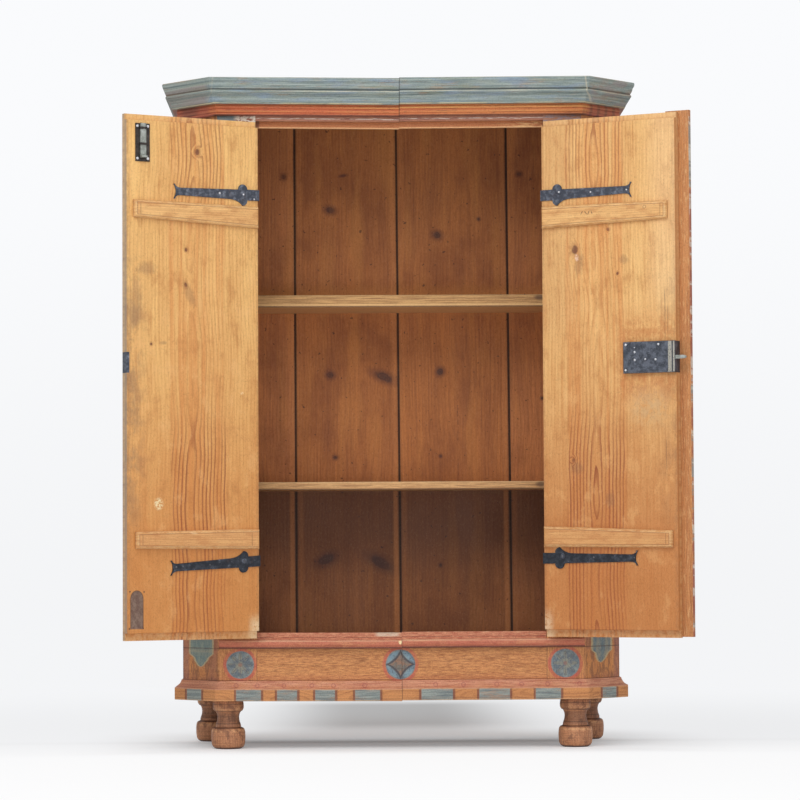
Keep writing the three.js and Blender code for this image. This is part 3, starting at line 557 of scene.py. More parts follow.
# %% Battens
# Where it ends, its low edge at both ends, its high edge at both ends, and its inner lines.
BATTENS = {
    "upper_left": (381, (1453, 1469), (1513.5, 1517), [364]),
    "lower_left": (376, (559, 561.5), (614.5, 607.5), [359, 28]),
    "upper_right": (379, (1450, 1459.5), (1511, 1509), [362]),
    "lower_right": (387, (560.5, 557.5), (618.5, 604), [370]),
}
BATTEN_START = 2
LINE_INSET = 7.5


def scratched_frame(batten, along, z):
    end, low, high, inner_lines = batten
    share = (along - BATTEN_START) / (end - BATTEN_START)
    over_low = z - low[0] - share * (low[1] - low[0])
    under_high = high[0] + share * (high[1] - high[0]) - z
    inside = over_low.least(under_high).least(end - along)
    frame_line = inside.line(LINE_INSET, 1, 1.1)
    for inner in inner_lines:
        frame_line = frame_line.most(along.line(inner, 0.9, 1) * inside.rise(7, 8.5))
    return frame_line, inside


def batten_finish(name, batten, seed):
    f, along, through, z = on_leaf(f"batten_pine_{name}", name.split("_")[1])
    heart = (batten[1][0] - 40, 20)
    height = pine(f, along, z, through, heart, 6, seed, (240, 192, 126), (200, 140, 82), lines=0.25)
    mottle = f.noise(along * 0.02, z * 0.05, seed, 4)
    f.lay(mottle.rise(0.46, 0.64) * 0.42, (186, 120, 64))
    if "lower" in name:
        f.lay(0.38, (196, 126, 74))
    frame_line, inside = scratched_frame(batten, along, z)
    worn = f.noise(along * 0.05, z * 0.2, seed + 3, 4, 0.7)
    f.lay(worn.rise(0.56, 0.66) * 0.3, (150, 92, 52))
    # The bevels are painted paler in patches: painted highlight.
    f.lay(inside.fall(6.5, 7.5) * worn.rise(0.42, 0.56) * 0.5, (244, 208, 152))
    f.lay(frame_line * (0.35 + worn * 0.5), (140, 84, 48))
    # The batten's sides are painted darker near the leaf: painted shade where it stands on the leaf.
    f.lay(through.fall(28.5, 37) * 0.6, (150, 90, 48))
    if name == "upper_right":
        marked_batten(f, along, z, worn)
    if name == "lower_left":
        rough = spot(along, z, 200, 605, 26, 6).fall(0.5, 1.1) * worn.rise(0.45, 0.55)
        f.lay(rough * 0.6, (232, 196, 150))
    f.grit(along * 0.7, through, z, 0.3)
    return f.done(0.48 + mottle * 0.2, height - frame_line * 1.5)


def marked_batten(f, along, z, worn):
    """A plug over a nail, and a few dark scratches."""
    plug = spot(along, z, 316, 1494, 4.5, 4.5)
    f.lay(plug.line(0.9, 0.2, 0.15) * 0.6, (130, 78, 42))
    f.lay(plug.fall(0.5, 0.7) * 0.6, (236, 196, 136))
    for at, lean in ((128, 30), (140, -40), (149, 25), (158, -20)):
        scratch = spot(along, z, at, 1487, 1.6, 5.5, lean).fall(0.7, 1.3)
        f.lay(scratch * worn.rise(0.3, 0.5) * 0.7, (70, 48, 36))


for number, (name, batten) in enumerate(BATTENS.items()):
    dress(batten_finish(name, batten, 61 + number * 7), f"batten_{name}")
print(len(BATTENS), "battens dressed")

# %% [markdown]
# ## The back of the case
# The back is four wide boards that have darkened to a warm brown. Their seams lean a little,
# because the boards are tapered, and a paler strip runs beside each seam. The knots are big
# and dark, drawn out to one side. The lowest bay is painted the darkest, most of all under the
# shelf: painted shade.

# %% Back boards
# A heart has its place across the case and its depth, and a seam its place at foot and at head.
BACK_KNOTS = [
    [(-336, 1657, 6, 7)],
    [
        (-199, 1558, 12, 9, 20), (-160, 1660, 9, 3, -10), (-201, 1070, 11, 9, 10),
        (-41, 1063, 27, 11, 24), (-186, 826, 6, 5), (-214, 527, 24, 13, -25), (-53, 516, 33, 14, 30),
    ],
    [(117, 1483, 12, 9, 15), (124, 1078, 9, 10, 30), (240, 1530, 4, 4), (124, 829, 4, 4), (122, 508, 4, 5)],
    [(361, 1663, 7, 6), (425, 999, 4, 4)],
]
BACK_HEARTS = [(-470, 60), (-120, 34), (190, 40), (450, 70)]
BACK_SEAMS = [(-300.5, -303.5), (6, -3.6), (331, 321)]
BACK_FOOT, BACK_HEAD = 136, 1845


def beside_seams(x, z):
    """1 on the pale strip beside a seam, and 1 in the dark gap itself."""
    up = (z - BACK_FOOT) / (BACK_HEAD - BACK_FOOT)
    pale, gap = 0, 0
    for foot, head in BACK_SEAMS:
        off = x - foot - up * (head - foot)
        pale = off.between(-19, -6, 3) * 0.8 + off.between(6, 20, 4) * 0.35 + pale
        gap = off.line(0, 3.4, 1.6) + gap
    return pale, gap


def back_finish(number):
    f, x, y, z = on_case(f"back_pine_{number + 1}")
    seed = 40 + number * 6
    # The two outer boards are painted lighter than the middle ones, to make up for the shade of the open
    # doors and the sides: painted light.
    light, dark = ((192, 118, 56), (126, 68, 34)) if number in (1, 2) else ((204, 128, 70), (138, 80, 44))
    height = pine(
        f, z, x, y * 0, BACK_HEARTS[number], 9, seed, light, dark, BACK_KNOTS[number], lines=0.14, streak=0.6
    )
    lay_spots(f, x, z, BACK_KNOTS[number], 0.9, 2.6, 0.5, (82, 46, 34))
    cloud = f.noise(x * 0.006, z * 0.004, 70 + number, 4, 0.6)
    f.lay(cloud.rise(0.45, 0.72) * 0.5, (116, 60, 34))
    glow = f.noise(x * 0.02, z * 0.0025, 80 + number).rise(0.48, 0.72)
    f.lay(glow * 0.45, (202, 132, 64))
    inner_face = y.fall(455, 457)
    # A warm band just over the upper shelf is painted light thrown up from the shelf.
    f.lay(z.between(1262, 1320, 26) * inner_face * 0.5, (216, 144, 74))
    # The lowest bay is painted darker, most of all under the shelf, and its knots with it: painted shade.
    low_bay_painted_shade = z.fall(730, 750) * (z.rise(400, 640) * 0.28 + 0.5) * inner_face
    f.lay(low_bay_painted_shade, (71, 34, 13))
    lay_spots(f, x, z, BACK_KNOTS[number], 0.6, 1.5, low_bay_painted_shade * 0.75, (46, 24, 22))
    crumbs = f.noise(x * 0.1, z * 0.06, 87, 4, 0.75)
    crack = (x + (crumbs - 0.5) * 9).line(176, 1.4, 1.4) * z.between(775, 1010, 50)
    f.lay(crack * crumbs.rise(0.46, 0.54) * 0.7, (82, 38, 24))
    pale, gap = beside_seams(x, z)
    f.lay(pale * 0.4, (206, 134, 74))
    specks = f.noise(x * 0.07, z * 0.07, 88, 2, 0.6).rise(0.675, 0.71)
    f.lay(specks * 0.7, (52, 28, 20))
    # The boards' edges in the seams are painted near black: painted shade in the gaps.
    f.lay(y.between(445.6, 462, 0.4) * 0.85, (40, 22, 14))
    f.lay(gap * y.fall(446, 448) * 0.7, (34, 18, 12))
    f.lay((1 - inner_face) * 0.3, (158, 122, 90))
    f.grit(x, y, z * 0.6, 0.3)
    return f.done(0.52 + cloud * 0.25, height, 0.4)


for number in range(4):
    dress(back_finish(number), f"back_board_{number + 1}")
print("back boards dressed, with", sum(len(knots) for knots in BACK_KNOTS), "knots")

# %% [markdown]
# ## Shelves, floor, top and blocks
# The shelves have their grain from side to side. Their front edges have been rubbed tan, with
# a bright line along the upper arris and streaks below it. The lower bevel of each front edge
# and the undersides are painted paler, as painted light from below, and a dark line over the
# lower arris is painted shade.
# The floor, the top and the blocks behind the feet are plain dry pine.


# %% Shelves and dry boards
def plank(f, x, y, z, seed, light, dark):
    """Boards with their grain from side to side."""
    height = pine(f, x, y, z * 0.2, (320, 40), 6, seed, light, dark, lines=0.4)
    f.lay(f.noise(x * 0.006, y * 0.01, seed + 1, 4).rise(0.45, 0.75) * 0.4, (124, 80, 50))
    return height


def shelf_finish(level, seed):
    f, x, y, z = on_case(f"shelf_pine_{level}", Roughness=0.62)
    height = plank(f, x, y, z, seed, (190, 140, 88), (146, 98, 58))
    low, high = (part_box(f"shelf_{level}")[i].z / MM for i in (0, 1))
    front = y.fall(shelf_front + 1, shelf_front + 12)
    wave = f.noise(x * 0.006, 5, seed + 2) * 14
    streaks = f.noise(x * 0.012, (z + wave) * 0.28, seed + 4, 5, 0.66)
    pale, dull = ((208, 162, 104), (164, 120, 72)) if level == "upper" else ((230, 182, 124), (184, 134, 86))
    rounded = low + (9 if level == "upper" else 2)
    f.lay(front * 0.92, f.mix(streaks.rise(0.38, 0.62), pale, dull))
    f.lay(front * z.rise(high - 4, high - 1.5) * 0.6, (226, 190, 138))
    f.lay(front * z.line(high - 11, 1.2, 1.2) * streaks.rise(0.4, 0.55) * 0.5, (120, 80, 46))
    # The lower bevel of the front edge is painted paler: painted light from below.
    f.lay(front * z.fall(rounded - 1, rounded) * 0.85, (222, 178, 120))
    # A dark line at the lower arris is painted shade.
    f.lay(front * z.fall(low + 2.2, low + 3.4) * 0.85, (96, 62, 38))
    # The underside is painted paler: painted light thrown up from the floor.
    f.lay(z.fall(low + 0.1, low + 0.6) * (1 - front) * 0.85, (224, 178, 122))
    stain = spot(x, z, 405, high - 9, 16, 8) + streaks * 0.8
    f.lay(front * stain.fall(0.9, 1.8) * 0.7, (74, 46, 34))
    f.grit(x * 0.5, y, z, 0.3)
    return f.done(None, height + streaks)


def dry_finish():
    f, x, y, z = on_case("dry_pine", Roughness=0.62)
    height = plank(f, x, y, z, 90, (150, 98, 60), (110, 66, 40))
    f.grit(x, y, z, 0.3)
    return f.done(None, height)


shelf_front = (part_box("shelf_upper")[0].y - face_y) / MM
for level, seed in (("upper", 95), ("lower", 99)):
    dress(shelf_finish(level, seed), f"shelf_{level}")
dry_boards = named("floor_board", "top_board", "corner_block")
dress(dry_finish(), *dry_boards)
print("shelves and", len(dry_boards), "dry boards dressed")

# %% [markdown]
# ## The painted case
# The rails and posts are rust brown, thin enough to show the grain. Three roundels stand low
# on the face, and a blue-grey shape hangs on each canted corner. All of it is drawn from
# distances to lines and circles.

# %% Depth and settling
CORNER, CANT = 511, 106
HEAD_DROP, BASE_DROP = (5, 3), (2.5, 0.5)


def depth_in_case(x, y):
    """How deep a point lies under the outer faces of the boards."""
    reach = abs(x)
    front_or_cant = y.least((y + CORNER - reach) / math.sqrt(2))
    return front_or_cant.least(CORNER + CANT - reach)


def settled(x, z, drops):
    """Heights that follow how far the left and the right half have sunk at the seam."""
    left, right = drops
    share = (1 - abs(x) / CORNER).most(0)
    return z + share * (left + (right - left) * x.rise(-1, 1))


def dark_joints(f, x, y, z, outside):
    """Dirt in the joints: at the seam, beside the doorway posts, and under the mouldings. Under the sill
    moulding the line is partly painted shadow.
    """
    ragged = f.noise(x * 0.04, z * 0.04, 61, 4, 0.7).rise(0.3, 0.55)
    low_face = z.rise(190, 193) * z.fall(281, 284)
    joints = x.line(0, 0.9, 0.8) * 0.7 + abs(x).line(405.5, 0.8, 0.8) * low_face * 0.75
    # The line at 281.5, under the sill moulding, is partly painted shadow.
    joints = joints + (z.line(192.5, 1, 1) + z.line(281.5, 1.6, 1.2)) * 0.6
    joints = joints + abs(x).rise(613, 617) * y.fall(106, 112) * 0.55 + abs(x).line(CORNER, 1, 1.2) * 0.3
    f.lay(joints.least(0.85) * (0.4 + ragged * 0.6) * outside, (66, 36, 26))


print("depth and joints ready")


# %% Roundels
# The middle, its height and the radius of the disc.
ROUNDELS = {"left": (-451.7, 236, 38.5), "middle": (-4.5, 235, 41.5), "right": (456.5, 236, 40)}
RING_WIDTH, ROUNDEL_REACH = 9, 56


def roundel(f, x, z, which):
    """A disc in a ring, with its motif: a star in the middle of the case, and a flower at both sides."""
    centre, height, size = ROUNDELS[which]
    dx, dz = x - centre, z - height
    wobble = f.noise(x * 0.05, z * 0.05, centre) - 0.5
    radius = (dx * dx + dz * dz).root() + wobble * 3
    patches = f.noise(x * 0.06, z * 0.06, centre + 3, 4, 0.7)
    worn_ring = patches.rise(0.34, 0.6) * 0.55 + 0.35
    ring = radius.fall(size + RING_WIDTH - 2, size + RING_WIDTH + 2)
    f.lay(ring * worn_ring * 0.85, (188, 86, 78))
    disc = radius.fall(size - 1.2, size + 1.2)
    f.lay(disc * 0.93, f.mix(patches.rise(0.38, 0.62), (88, 112, 124), (132, 150, 148)))
    motif = four_points if which == "middle" else flower
    motif(f, dx, dz, radius, disc, patches)


def four_points(f, dx, dz, radius, disc, patches):
    spread = (abs(dx) / 38) ** 0.72 + (abs(dz) / 38) ** 0.72
    bright = (1 - spread.fall(1.05, 1.3)) * radius.fall(36, 39)
    f.lay(bright * patches.rise(0.36, 0.5) * 0.6, (118, 154, 174))
    f.lay(spread.fall(0.9, 0.98) * disc * 0.9, f.mix(patches.rise(0.4, 0.6), (150, 112, 88), (112, 106, 98)))
    f.lay(spread.line(1, 0.1, 0.06) * radius.fall(40, 43) * 0.88, (66, 60, 66))
    veins = (abs(dx + dz) / 30) ** 0.8 + (abs(dx - dz) / 30) ** 0.8
    f.lay(veins.line(0.95, 0.08, 0.08) * disc * 0.45, (78, 62, 60))


def flower(f, dx, dz, radius, disc, patches):
    petals = dz.maths("COSINE", dz.maths("ARCTAN2", dz, dx) * 8)
    leaf_edge = radius - petals * 9 - 24
    f.lay(leaf_edge.fall(-1, 3) * disc * patches.rise(0.36, 0.6) * 0.5, (148, 138, 110))
    f.lay(leaf_edge.line(1, 1.6, 1.2) * disc * 0.5, (72, 80, 92))
    f.lay(petals.rise(0.85, 0.98) * radius.between(6, 30, 2) * disc * 0.5, (84, 78, 84))
    f.lay(radius.fall(4, 8) * 0.5, (150, 92, 70))


print("roundels ready")

# %% Hanging shapes on the canted corners
# The tip, the middle line, half the width, and the two blues.
HANGING = [
    ((-565, 229), -563, 36, ((100, 122, 124), (128, 142, 132))),
    ((559, 235), 563, 32, ((80, 104, 118), (112, 128, 130))),
]


def hanging_shape(f, x, z, bare, tip, middle_line, half, blues):
    """A field with a pale outline. It ends below in a rounded shoulder and a point."""
    tip_x, tip_z = tip
    over_tip = z - tip_z
    width = (over_tip / 24).most(0).least(1).root() * 0.62 + over_tip.rise(24, 38) * 0.38
    under_top = ((1716 - z) / 60).most(0).least(1)
    middle = tip_x + (middle_line - tip_x) * over_tip.rise(0, 30)
    wobble = f.noise(x * 0.06, z * 0.06, 19) - 0.5
    reach = width * under_top * half - abs(x - middle) + wobble * 4 - over_tip.fall(-2, 2) * 8
    drag = f.noise(x * 0.12, z * 0.03, 17, 4, 0.65)
    f.lay(reach.rise(-1.5, 1) * 0.75, f.mix(drag, SAGE, (196, 178, 132)))
    f.lay(reach.rise(3.5, 6) * (1 - bare * 0.5) * 0.95, f.mix(drag.rise(0.35, 0.65), *blues))


def canted_corner(f, x, z, bare):
    strokes = f.noise(x * 0.1, z * 0.02, 23, 4, 0.7)
    ground = f.mix(f.noise(x * 0.02, z * 0.01, 24).rise(0.4, 0.62), (204, 134, 74), (156, 98, 76))
    ground = f.mix(strokes.rise(0.47, 0.57) * 0.7, ground, (96, 58, 44))
    f.lay(0.75, f.mix(abs(x).rise(594, 606) * 0.5, ground, (142, 92, 96)))
    for shape in HANGING:
        hanging_shape(f, x, z, bare, *shape)


print("hanging shapes ready")


# %% Posts, canted corners and sides
def upright_ornament(f, x, y, z, outside, bare):
    front, on_side = y.fall(1.5, 3), y.rise(108, 111) * outside
    for which in ("left", "right"):
        centre = ROUNDELS[which][0]
        near = front * x.line(centre, ROUNDEL_REACH, 1) * z.fall(300, 310)
        f.only(near, roundel, x, z, which)
    f.only((y - 2).rise(0, 3) * (108 - y).rise(0, 3) * outside, canted_corner, x, z, bare)
    scuffs = rubbed(f, z, y, 77, amount=0.3, grain=0.02)
    f.coat(RED, y.between(160, 410, 1.5) * z.between(300, 1660, 1.5) * on_side, scuffs, cover=0.7)
    f.coat(BLUE_GREY, y.between(174, 396, 1.5) * z.between(314, 1646, 1.5) * on_side, scuffs)
    head_end(f, x, z, front)


def head_end(f, x, z, front):
    """Where the posts meet the head: a blue patch, white flakes and a grey-lilac one."""
    flakes = f.noise(x * 0.06, z * 0.16, 5, 4, 0.7)
    top = z.rise(1752, 1758) * front
    left = f.mix(x.rise(-470, -455), (112, 138, 146), f.mix(flakes.rise(0.44, 0.5), (134, 74, 60), CHALK))
    both = f.mix(x.rise(-1, 1), left, f.mix(flakes.rise(0.4, 0.6), (150, 140, 148), (172, 120, 92)))
    f.lay(top * 0.9, both)


print("post ornament ready")


# %% Rails
def rail_ornament(f, x, y, z):
    head, base = settled(x, z, HEAD_DROP), settled(x, z, BASE_DROP)
    front, tongue = y.fall(1.5, 3), y.between(8, 15.5, 0.5)
    flakes = f.noise(x * 0.03, z * 0.16, 9, 5, 0.7)
    frieze = head.rise(1763.5, 1764.5) * front
    f.lay(frieze * 0.85, f.mix(flakes.rise(0.35, 0.65), (134, 84, 76), (166, 112, 92)))
    ripple = f.noise(x * 0.02, 3, 4, 3, 0.7) * 9
    curl = (head - 1766 - ripple).line(0, 0.9, 1) * flakes.rise(0.4, 0.55)
    f.lay(frieze * curl * 0.85, CHALK)
    f.lay(head.between(1761, 1764, 0.6) * front * 0.7, (96, 48, 38))
    f.lay(head.rise(1740, 1744) * tongue * 0.75, f.mix(flakes, (168, 88, 50), (206, 132, 80)))
    f.lay(head.between(1740, 1748, 0.8) * 0.75, (232, 182, 132))
    worn_lip = head.between(1746, 1761, 1) * x.rise(250, 390) * flakes.rise(0.46, 0.56)
    f.lay(worn_lip * 0.6, (232, 192, 132))
    # A dark patch at the left end of the rebate, beside the doorway post, is painted shadow.
    corner = head.between(1746, 1764, 1) * abs(x).rise(393, 397) * x.fall(-1, 1)
    f.lay(corner * 0.7, (92, 56, 38))
    sill_top(f, x, base, flakes)


def sill_top(f, x, base, flakes):
    top = base.between(305, 345, 0.7)
    worn = f.noise(x * 0.045, base * 0.3, 12, 5, 0.75)
    f.lay(top * 0.92, f.mix(worn.rise(0.36, 0.66), (186, 104, 80), (224, 162, 126)))
    f.lay(top * worn.rise(0.6, 0.66) * 0.7, (232, 200, 166))
    f.lay(top * base.line(312, 1.2, 1.2) * flakes.rise(0.4, 0.5) * 0.6, (120, 60, 48))
    hollow = x.between(-72, -9, 9) * base.between(315, 327, 2) * flakes.rise(0.3, 0.45)
    f.lay(hollow * 0.75, (228, 212, 190))


print("rail ornament ready")


# %% Boards of the case
def case_finish(name, upright):
    f, x, y, z = on_case(name)
    run, rise = (z, x + y) if upright else (x, z)
    heart = (450, 46) if upright else (262, 60)
    seed = 120 if upright else 131
    light, dark = (222, 158, 100), (158, 96, 56)
    height = pine(f, run, rise, y * 0, heart, 5, seed, light, dark, lines=0.22)
    outside = depth_in_case(x, y).fall(1.2, 2.6)
    inner = f.noise(x * 0.01, z * 0.006, 3)
    f.lay(1 - outside, f.mix(inner, (150, 96, 58), (184, 126, 78)))
    bare = rubbed(f, run, rise, seed, amount=0.52)
    f.coat((200, 130, 76), outside, bare * 0.8, cover=0.5)
    flecks = f.noise(run * 0.05, rise * 0.32, seed + 8, 4, 0.75)
    f.lay(flecks.rise(0.51, 0.6) * 0.5 * outside, (128, 72, 42))
    f.lay(flecks.fall(0.4, 0.47) * 0.45 * outside, (234, 176, 112))
    grime = f.noise(run * 0.012, rise * 0.05, seed + 2, 5, 0.68)
    f.lay(grime.rise(0.5, 0.72) * 0.45 * outside, (120, 68, 44))
    f.lay(z.fall(196, 214) * outside * 0.25, (176, 92, 66))
    if upright:
        upright_ornament(f, x, y, z, outside, bare)
    else:
        rail_ornament(f, x, y, z)
        centre = y.fall(1.5, 3) * x.between(-60, 52) * z.fall(284, 288)
        f.only(centre, roundel, x, z, "middle")
    dark_joints(f, x, y, z, outside)
    f.grit(x, y, z, 0.5)
    return f.done(0.52 + grime * 0.3, height * 0.7 + bare * 0.5)


posts, rails = named("stile", "corner_board", "side_board"), named("bottom_rail", "head_rail")
dress(case_finish("case_paint_upright", upright=True), *posts)
dress(case_finish("case_paint_rail", upright=False), *rails)
print(len(posts), "upright boards and", len(rails), "rails dressed")

# %% [markdown]
# ## The cornice
# The cornice is blue-grey, dragged on with a coarse brush in long streaks of pale and dark.
# The arrises are rubbed to a thin cream line, and the groove over the bead is painted dark as painted
# shadow.


# %% Cornice
MITRE_START, MITRE_SLOPE = 545, 0.414


def moulding(f, x, y, z, heart, ring, seed, light, dark, length=0.006, rise=0.32, turn=0.7):
    """Lays the wood. Returns its run round the case's corners, its grain and the brush's streaks."""
    run = x + y * turn
    height = pine(f, run, z, y * 0, heart, ring, seed, light, dark)
    return run, height, f.noise(run * length, z * rise, seed + 1, 6, 0.7)


def cornice_finish():
    f, x, y, z = on_case("cornice_paint")
    head = settled(x, z, HEAD_DROP)
    run, height, drag = moulding(f, x, y, z, (1840, 30), 4, 150, (196, 150, 104), (140, 96, 62), rise=0.25)
    cloud = f.noise(run * 0.012, z * 0.05, 152, 4)
    blue = f.mix(drag.rise(0.36, 0.64), (106, 126, 128), (164, 178, 174))
    blue = f.mix(cloud.rise(0.48, 0.66) * 0.6, blue, (132, 154, 178))
    green = f.noise(run * 0.009, z * 0.09, 153, 4).rise(0.52, 0.68)
    bare = rubbed(f, run, z, 154, amount=0.36, grain=0.02)
    f.lay(0.97 - bare * 0.45, f.mix(green * 0.45, blue, (140, 148, 124)))
    f.lay(head.line(1842.5, 1.3, 0.8) * drag.rise(0.42, 0.6) * 0.7, (206, 196, 166))
    arris = head.rise(1877.5, 1879.5) * 0.6 + head.fall(1811, 1813) * 0.8
    f.lay(arris * cloud.rise(0.36, 0.56), (198, 188, 150))
    # The groove over the bead is painted dark: painted shadow.
    f.lay(head.between(1845.2, 1849, 0.8) * 0.85, (56, 62, 62))
    f.lay(head.between(1814, 1818, 1.5) * drag.rise(0.4, 0.6) * 0.35, (76, 88, 88))
    mitre = abs(abs(x) - y * MITRE_SLOPE - MITRE_START).fall(0.8, 3)
    f.lay(mitre * (x.rise(0, 5) * 0.35 + 0.15), (206, 196, 172))
    f.lay(abs(x).rise(528, 552) * cloud.rise(0.4, 0.6) * 0.42, (164, 132, 104))
    return_cove = abs(x).rise(600, 612) * y.rise(100, 112) * z.fall(1828, 1834)
    f.lay(return_cove * 0.8, (150, 84, 66))
    f.lay(x.line(0, 1.2, 0.8) * 0.7, (52, 54, 52))
    f.grit(x, y, z, 0.4)
    return f.done(0.5 + drag * 0.3, height * 0.4 + drag * 0.8)


dress(cornice_finish(), "cornice_left", "cornice_right")
print("cornice dressed")

# %% [markdown]
# ## Bed moulding and sill moulding
# Under the cornice the bed moulding is orange-brown and red, with yellow lines where the paint
# has rubbed through. The moulding at the sill is salmon, worn to tan, with one deep chip
# beside the seam.


# %% Bed moulding
def bed_finish():
    f, x, y, z = on_case("bed_moulding_paint")
    head = settled(x, z, HEAD_DROP)
    run, height, drag = moulding(f, x, y, z, (1790, 24), 3.5, 160, (220, 156, 92), (168, 100, 58))
    bare = rubbed(f, run, z, 162, amount=0.45, grain=0.02)
    f.lay(0.85 - bare * 0.35, f.mix(x.rise(-250, 350), (196, 94, 58), (204, 122, 68)))
    f.lay(drag.rise(0.53, 0.64) * 0.55, (118, 54, 40))
    f.lay(f.noise(run * 0.03, z * 0.2, 164, 5, 0.75).rise(0.56, 0.64) * 0.55, (84, 44, 34))
    yellow = head.line(1800, 1.5, 1.5) * x.rise(-300, 0) + head.line(1789, 1, 1.2) * 0.5
    f.lay(yellow * drag.rise(0.34, 0.56) * 0.8, (224, 170, 92))
    # The foot of the bed moulding is painted dark: painted shadow over the frieze.
    f.lay(head.fall(1779.5, 1783) * 0.75, (70, 36, 28))
    strokes = run.maths("SINE", run * 0.16 + drag * 3).rise(0.1, 0.8)
    f.lay((y - 2).rise(-8, 12) * 0.7, f.mix(strokes, (168, 84, 66), (112, 58, 54)))
    f.lay(x.line(0, 1.2, 0.8) * 0.7, (60, 30, 24))
    f.grit(x, y, z, 0.45)
    return f.done(0.5 + drag * 0.25, height * 0.4 + drag * 0.7)


dress(bed_finish(), "bed_moulding_left", "bed_moulding_right")
print("bed moulding dressed")


# %% Sill moulding
def sill_finish():
    f, x, y, z = on_case("sill_paint")
    base = settled(x, z, BASE_DROP)
    wood = (216, 156, 108), (162, 98, 62)
    run, height, drag = moulding(f, x, y, z, (300, 20), 3.5, 170, *wood, length=0.007, turn=0)
    bare = rubbed(f, run, z, 172, grain=0.02)
    f.lay(0.85 - bare * 0.4, (192, 104, 82))
    f.lay(drag.rise(0.54, 0.7) * 0.5, (136, 70, 56))
    # Paler along the top arris: worn paint, and partly a painted highlight.
    f.lay(base.between(300.5, 306.5, 0.8) * drag.rise(0.35, 0.55) * 0.6, (220, 172, 138))
    chip = spot(x, base, -5, 299, 4.5, 5.5) + (drag - 0.5) * 1.5
    f.lay(chip.fall(0.7, 1.2) * 0.9, (246, 222, 170))
    # The moulding's lowest edge is painted dark: painted shadow over the rail below.
    f.lay(base.fall(284.5, 288) * 0.85, (84, 42, 36))
    f.lay(x.line(0, 1, 0.8) * 0.6, (70, 36, 30))
    f.grit(x, y, z, 0.5)
    return f.done(0.48 + drag * 0.3, height * 0.4 + drag * 0.8)


dress(sill_finish(), "sill_moulding_left", "sill_moulding_right")
print("sill moulding dressed")

# %% [markdown]
# ## The plinth
# The plinth's flat band is tan, with blue-grey blocks, each one between two dark red strokes.
# Its salmon slope above carries a row of small open rings. The blocks were painted by eye, so
# every one has its own measured place.

# %% Plinth
FRONT_BLOCKS = [(-463, -394), (-349, -293), (-243, -188), (-132, -62), (53, 141), (214, 300), (372, 442)]
SIDE_BLOCKS = [(150, 210), (262, 322), (374, 434)]
RINGS = [-463, -404, -330, -252, -192, -105, 93, 171, 264, 333, 406, 495]
BAND_TOP = 168


def blocks_and_strokes(f, x, y):
    front, side = abs(x).fall(520, 522), abs(x).rise(618, 620)
    cant = (1 - front) * (1 - side)
    sag = f.noise(x * 0.06, y * 0.06, 33, 2) * 4 - 2
    blocks = abs(x).between(562, 604, 1.5) * cant
    strokes = (abs(x).line(559, 3, 1.2) + abs(x).line(607, 3, 1.2)) * cant
    for along, places, face, half in ((x + sag, FRONT_BLOCKS, front, 3.6), (y + sag, SIDE_BLOCKS, side, 3)):
        for low, high in places:
            blocks = along.between(low, high, 1.5) * face + blocks
            strokes = (along.line(low - 3, 3, 1.6) + along.line(high + 3, half, 1.6)) * face + strokes
    return blocks.least(1), strokes.least(1)


print(len(FRONT_BLOCKS), "blocks on the front and", len(RINGS), "rings")


# %% Plinth finish
def plinth_finish():
    f, x, y, z = on_case("plinth_paint")
    base = settled(x, z, BASE_DROP)
    wood = (220, 154, 94), (158, 100, 60)
    run, height, drag = moulding(f, x, y, z, (150, 26), 4.5, 180, *wood, length=0.012, rise=0.2)
    bare = rubbed(f, run, z, 182, amount=0.42)
    f.lay(0.5 - bare * 0.3, (206, 138, 82))
    f.lay(drag.rise(0.52, 0.68) * 0.4, (136, 82, 50))
    blocks, strokes = blocks_and_strokes(f, x, y)
    edge = f.noise(x * 0.05, 2, 184) * 5 - 2.5
    band = (base + edge).fall(BAND_TOP - 1.5, BAND_TOP + 1.5)
    slope = base.rise(BAND_TOP - 1.5, BAND_TOP + 1.5)
    f.lay(slope * (0.86 - bare * 0.4), f.mix(drag.rise(0.4, 0.62), (214, 154, 124), (176, 106, 84)))
    f.lay(strokes * band * 0.75, (104, 48, 42))
    blue = f.mix(drag.rise(0.36, 0.64), (94, 116, 122), (150, 164, 160))
    f.lay(blocks * band * (0.93 - bare * 0.35), blue)
    f.lay(base.line(BAND_TOP, 1.2, 1) * drag.rise(0.4, 0.6) * 0.5, (220, 176, 134))
    rings_on(f, x, base, drag)
    f.lay(base.line(138, 1.2, 0.8) * drag.rise(0.35, 0.6) * 0.6, (214, 170, 128))
    f.lay(base.line(142.5, 0.9, 0.9) * 0.35, (96, 60, 44))
    f.lay(x.line(0, 1, 0.8) * 0.6, (70, 40, 30))
    f.grit(x, y, z, 0.5)
    return f.done(0.5 + drag * 0.3, height * 0.5 + drag * 0.7)


def rings_on(f, x, base, drag):
    """A faint open ring at each place along the slope."""
    for centre in RINGS:
        ring = spot(x, base, centre, 179, 6.5, 6.5).line(0.8, 0.22, 0.16)
        f.lay(ring * (0.25 + drag * 0.35), (124, 66, 64))
        blush = spot(x, base, centre, 179, 16, 10).fall(0.4, 1.2)
        f.lay(blush * 0.14, (196, 96, 88))


dress(plinth_finish(), "plinth_left", "plinth_right")
print("plinth dressed")

# %% [markdown]
# ## The strip between the doors
# A moulded strip on the right leaf covers the gap when the doors are shut. The side that lies
# against the other leaf is bare pine. Only specks of red and blue are left on its outer edge.


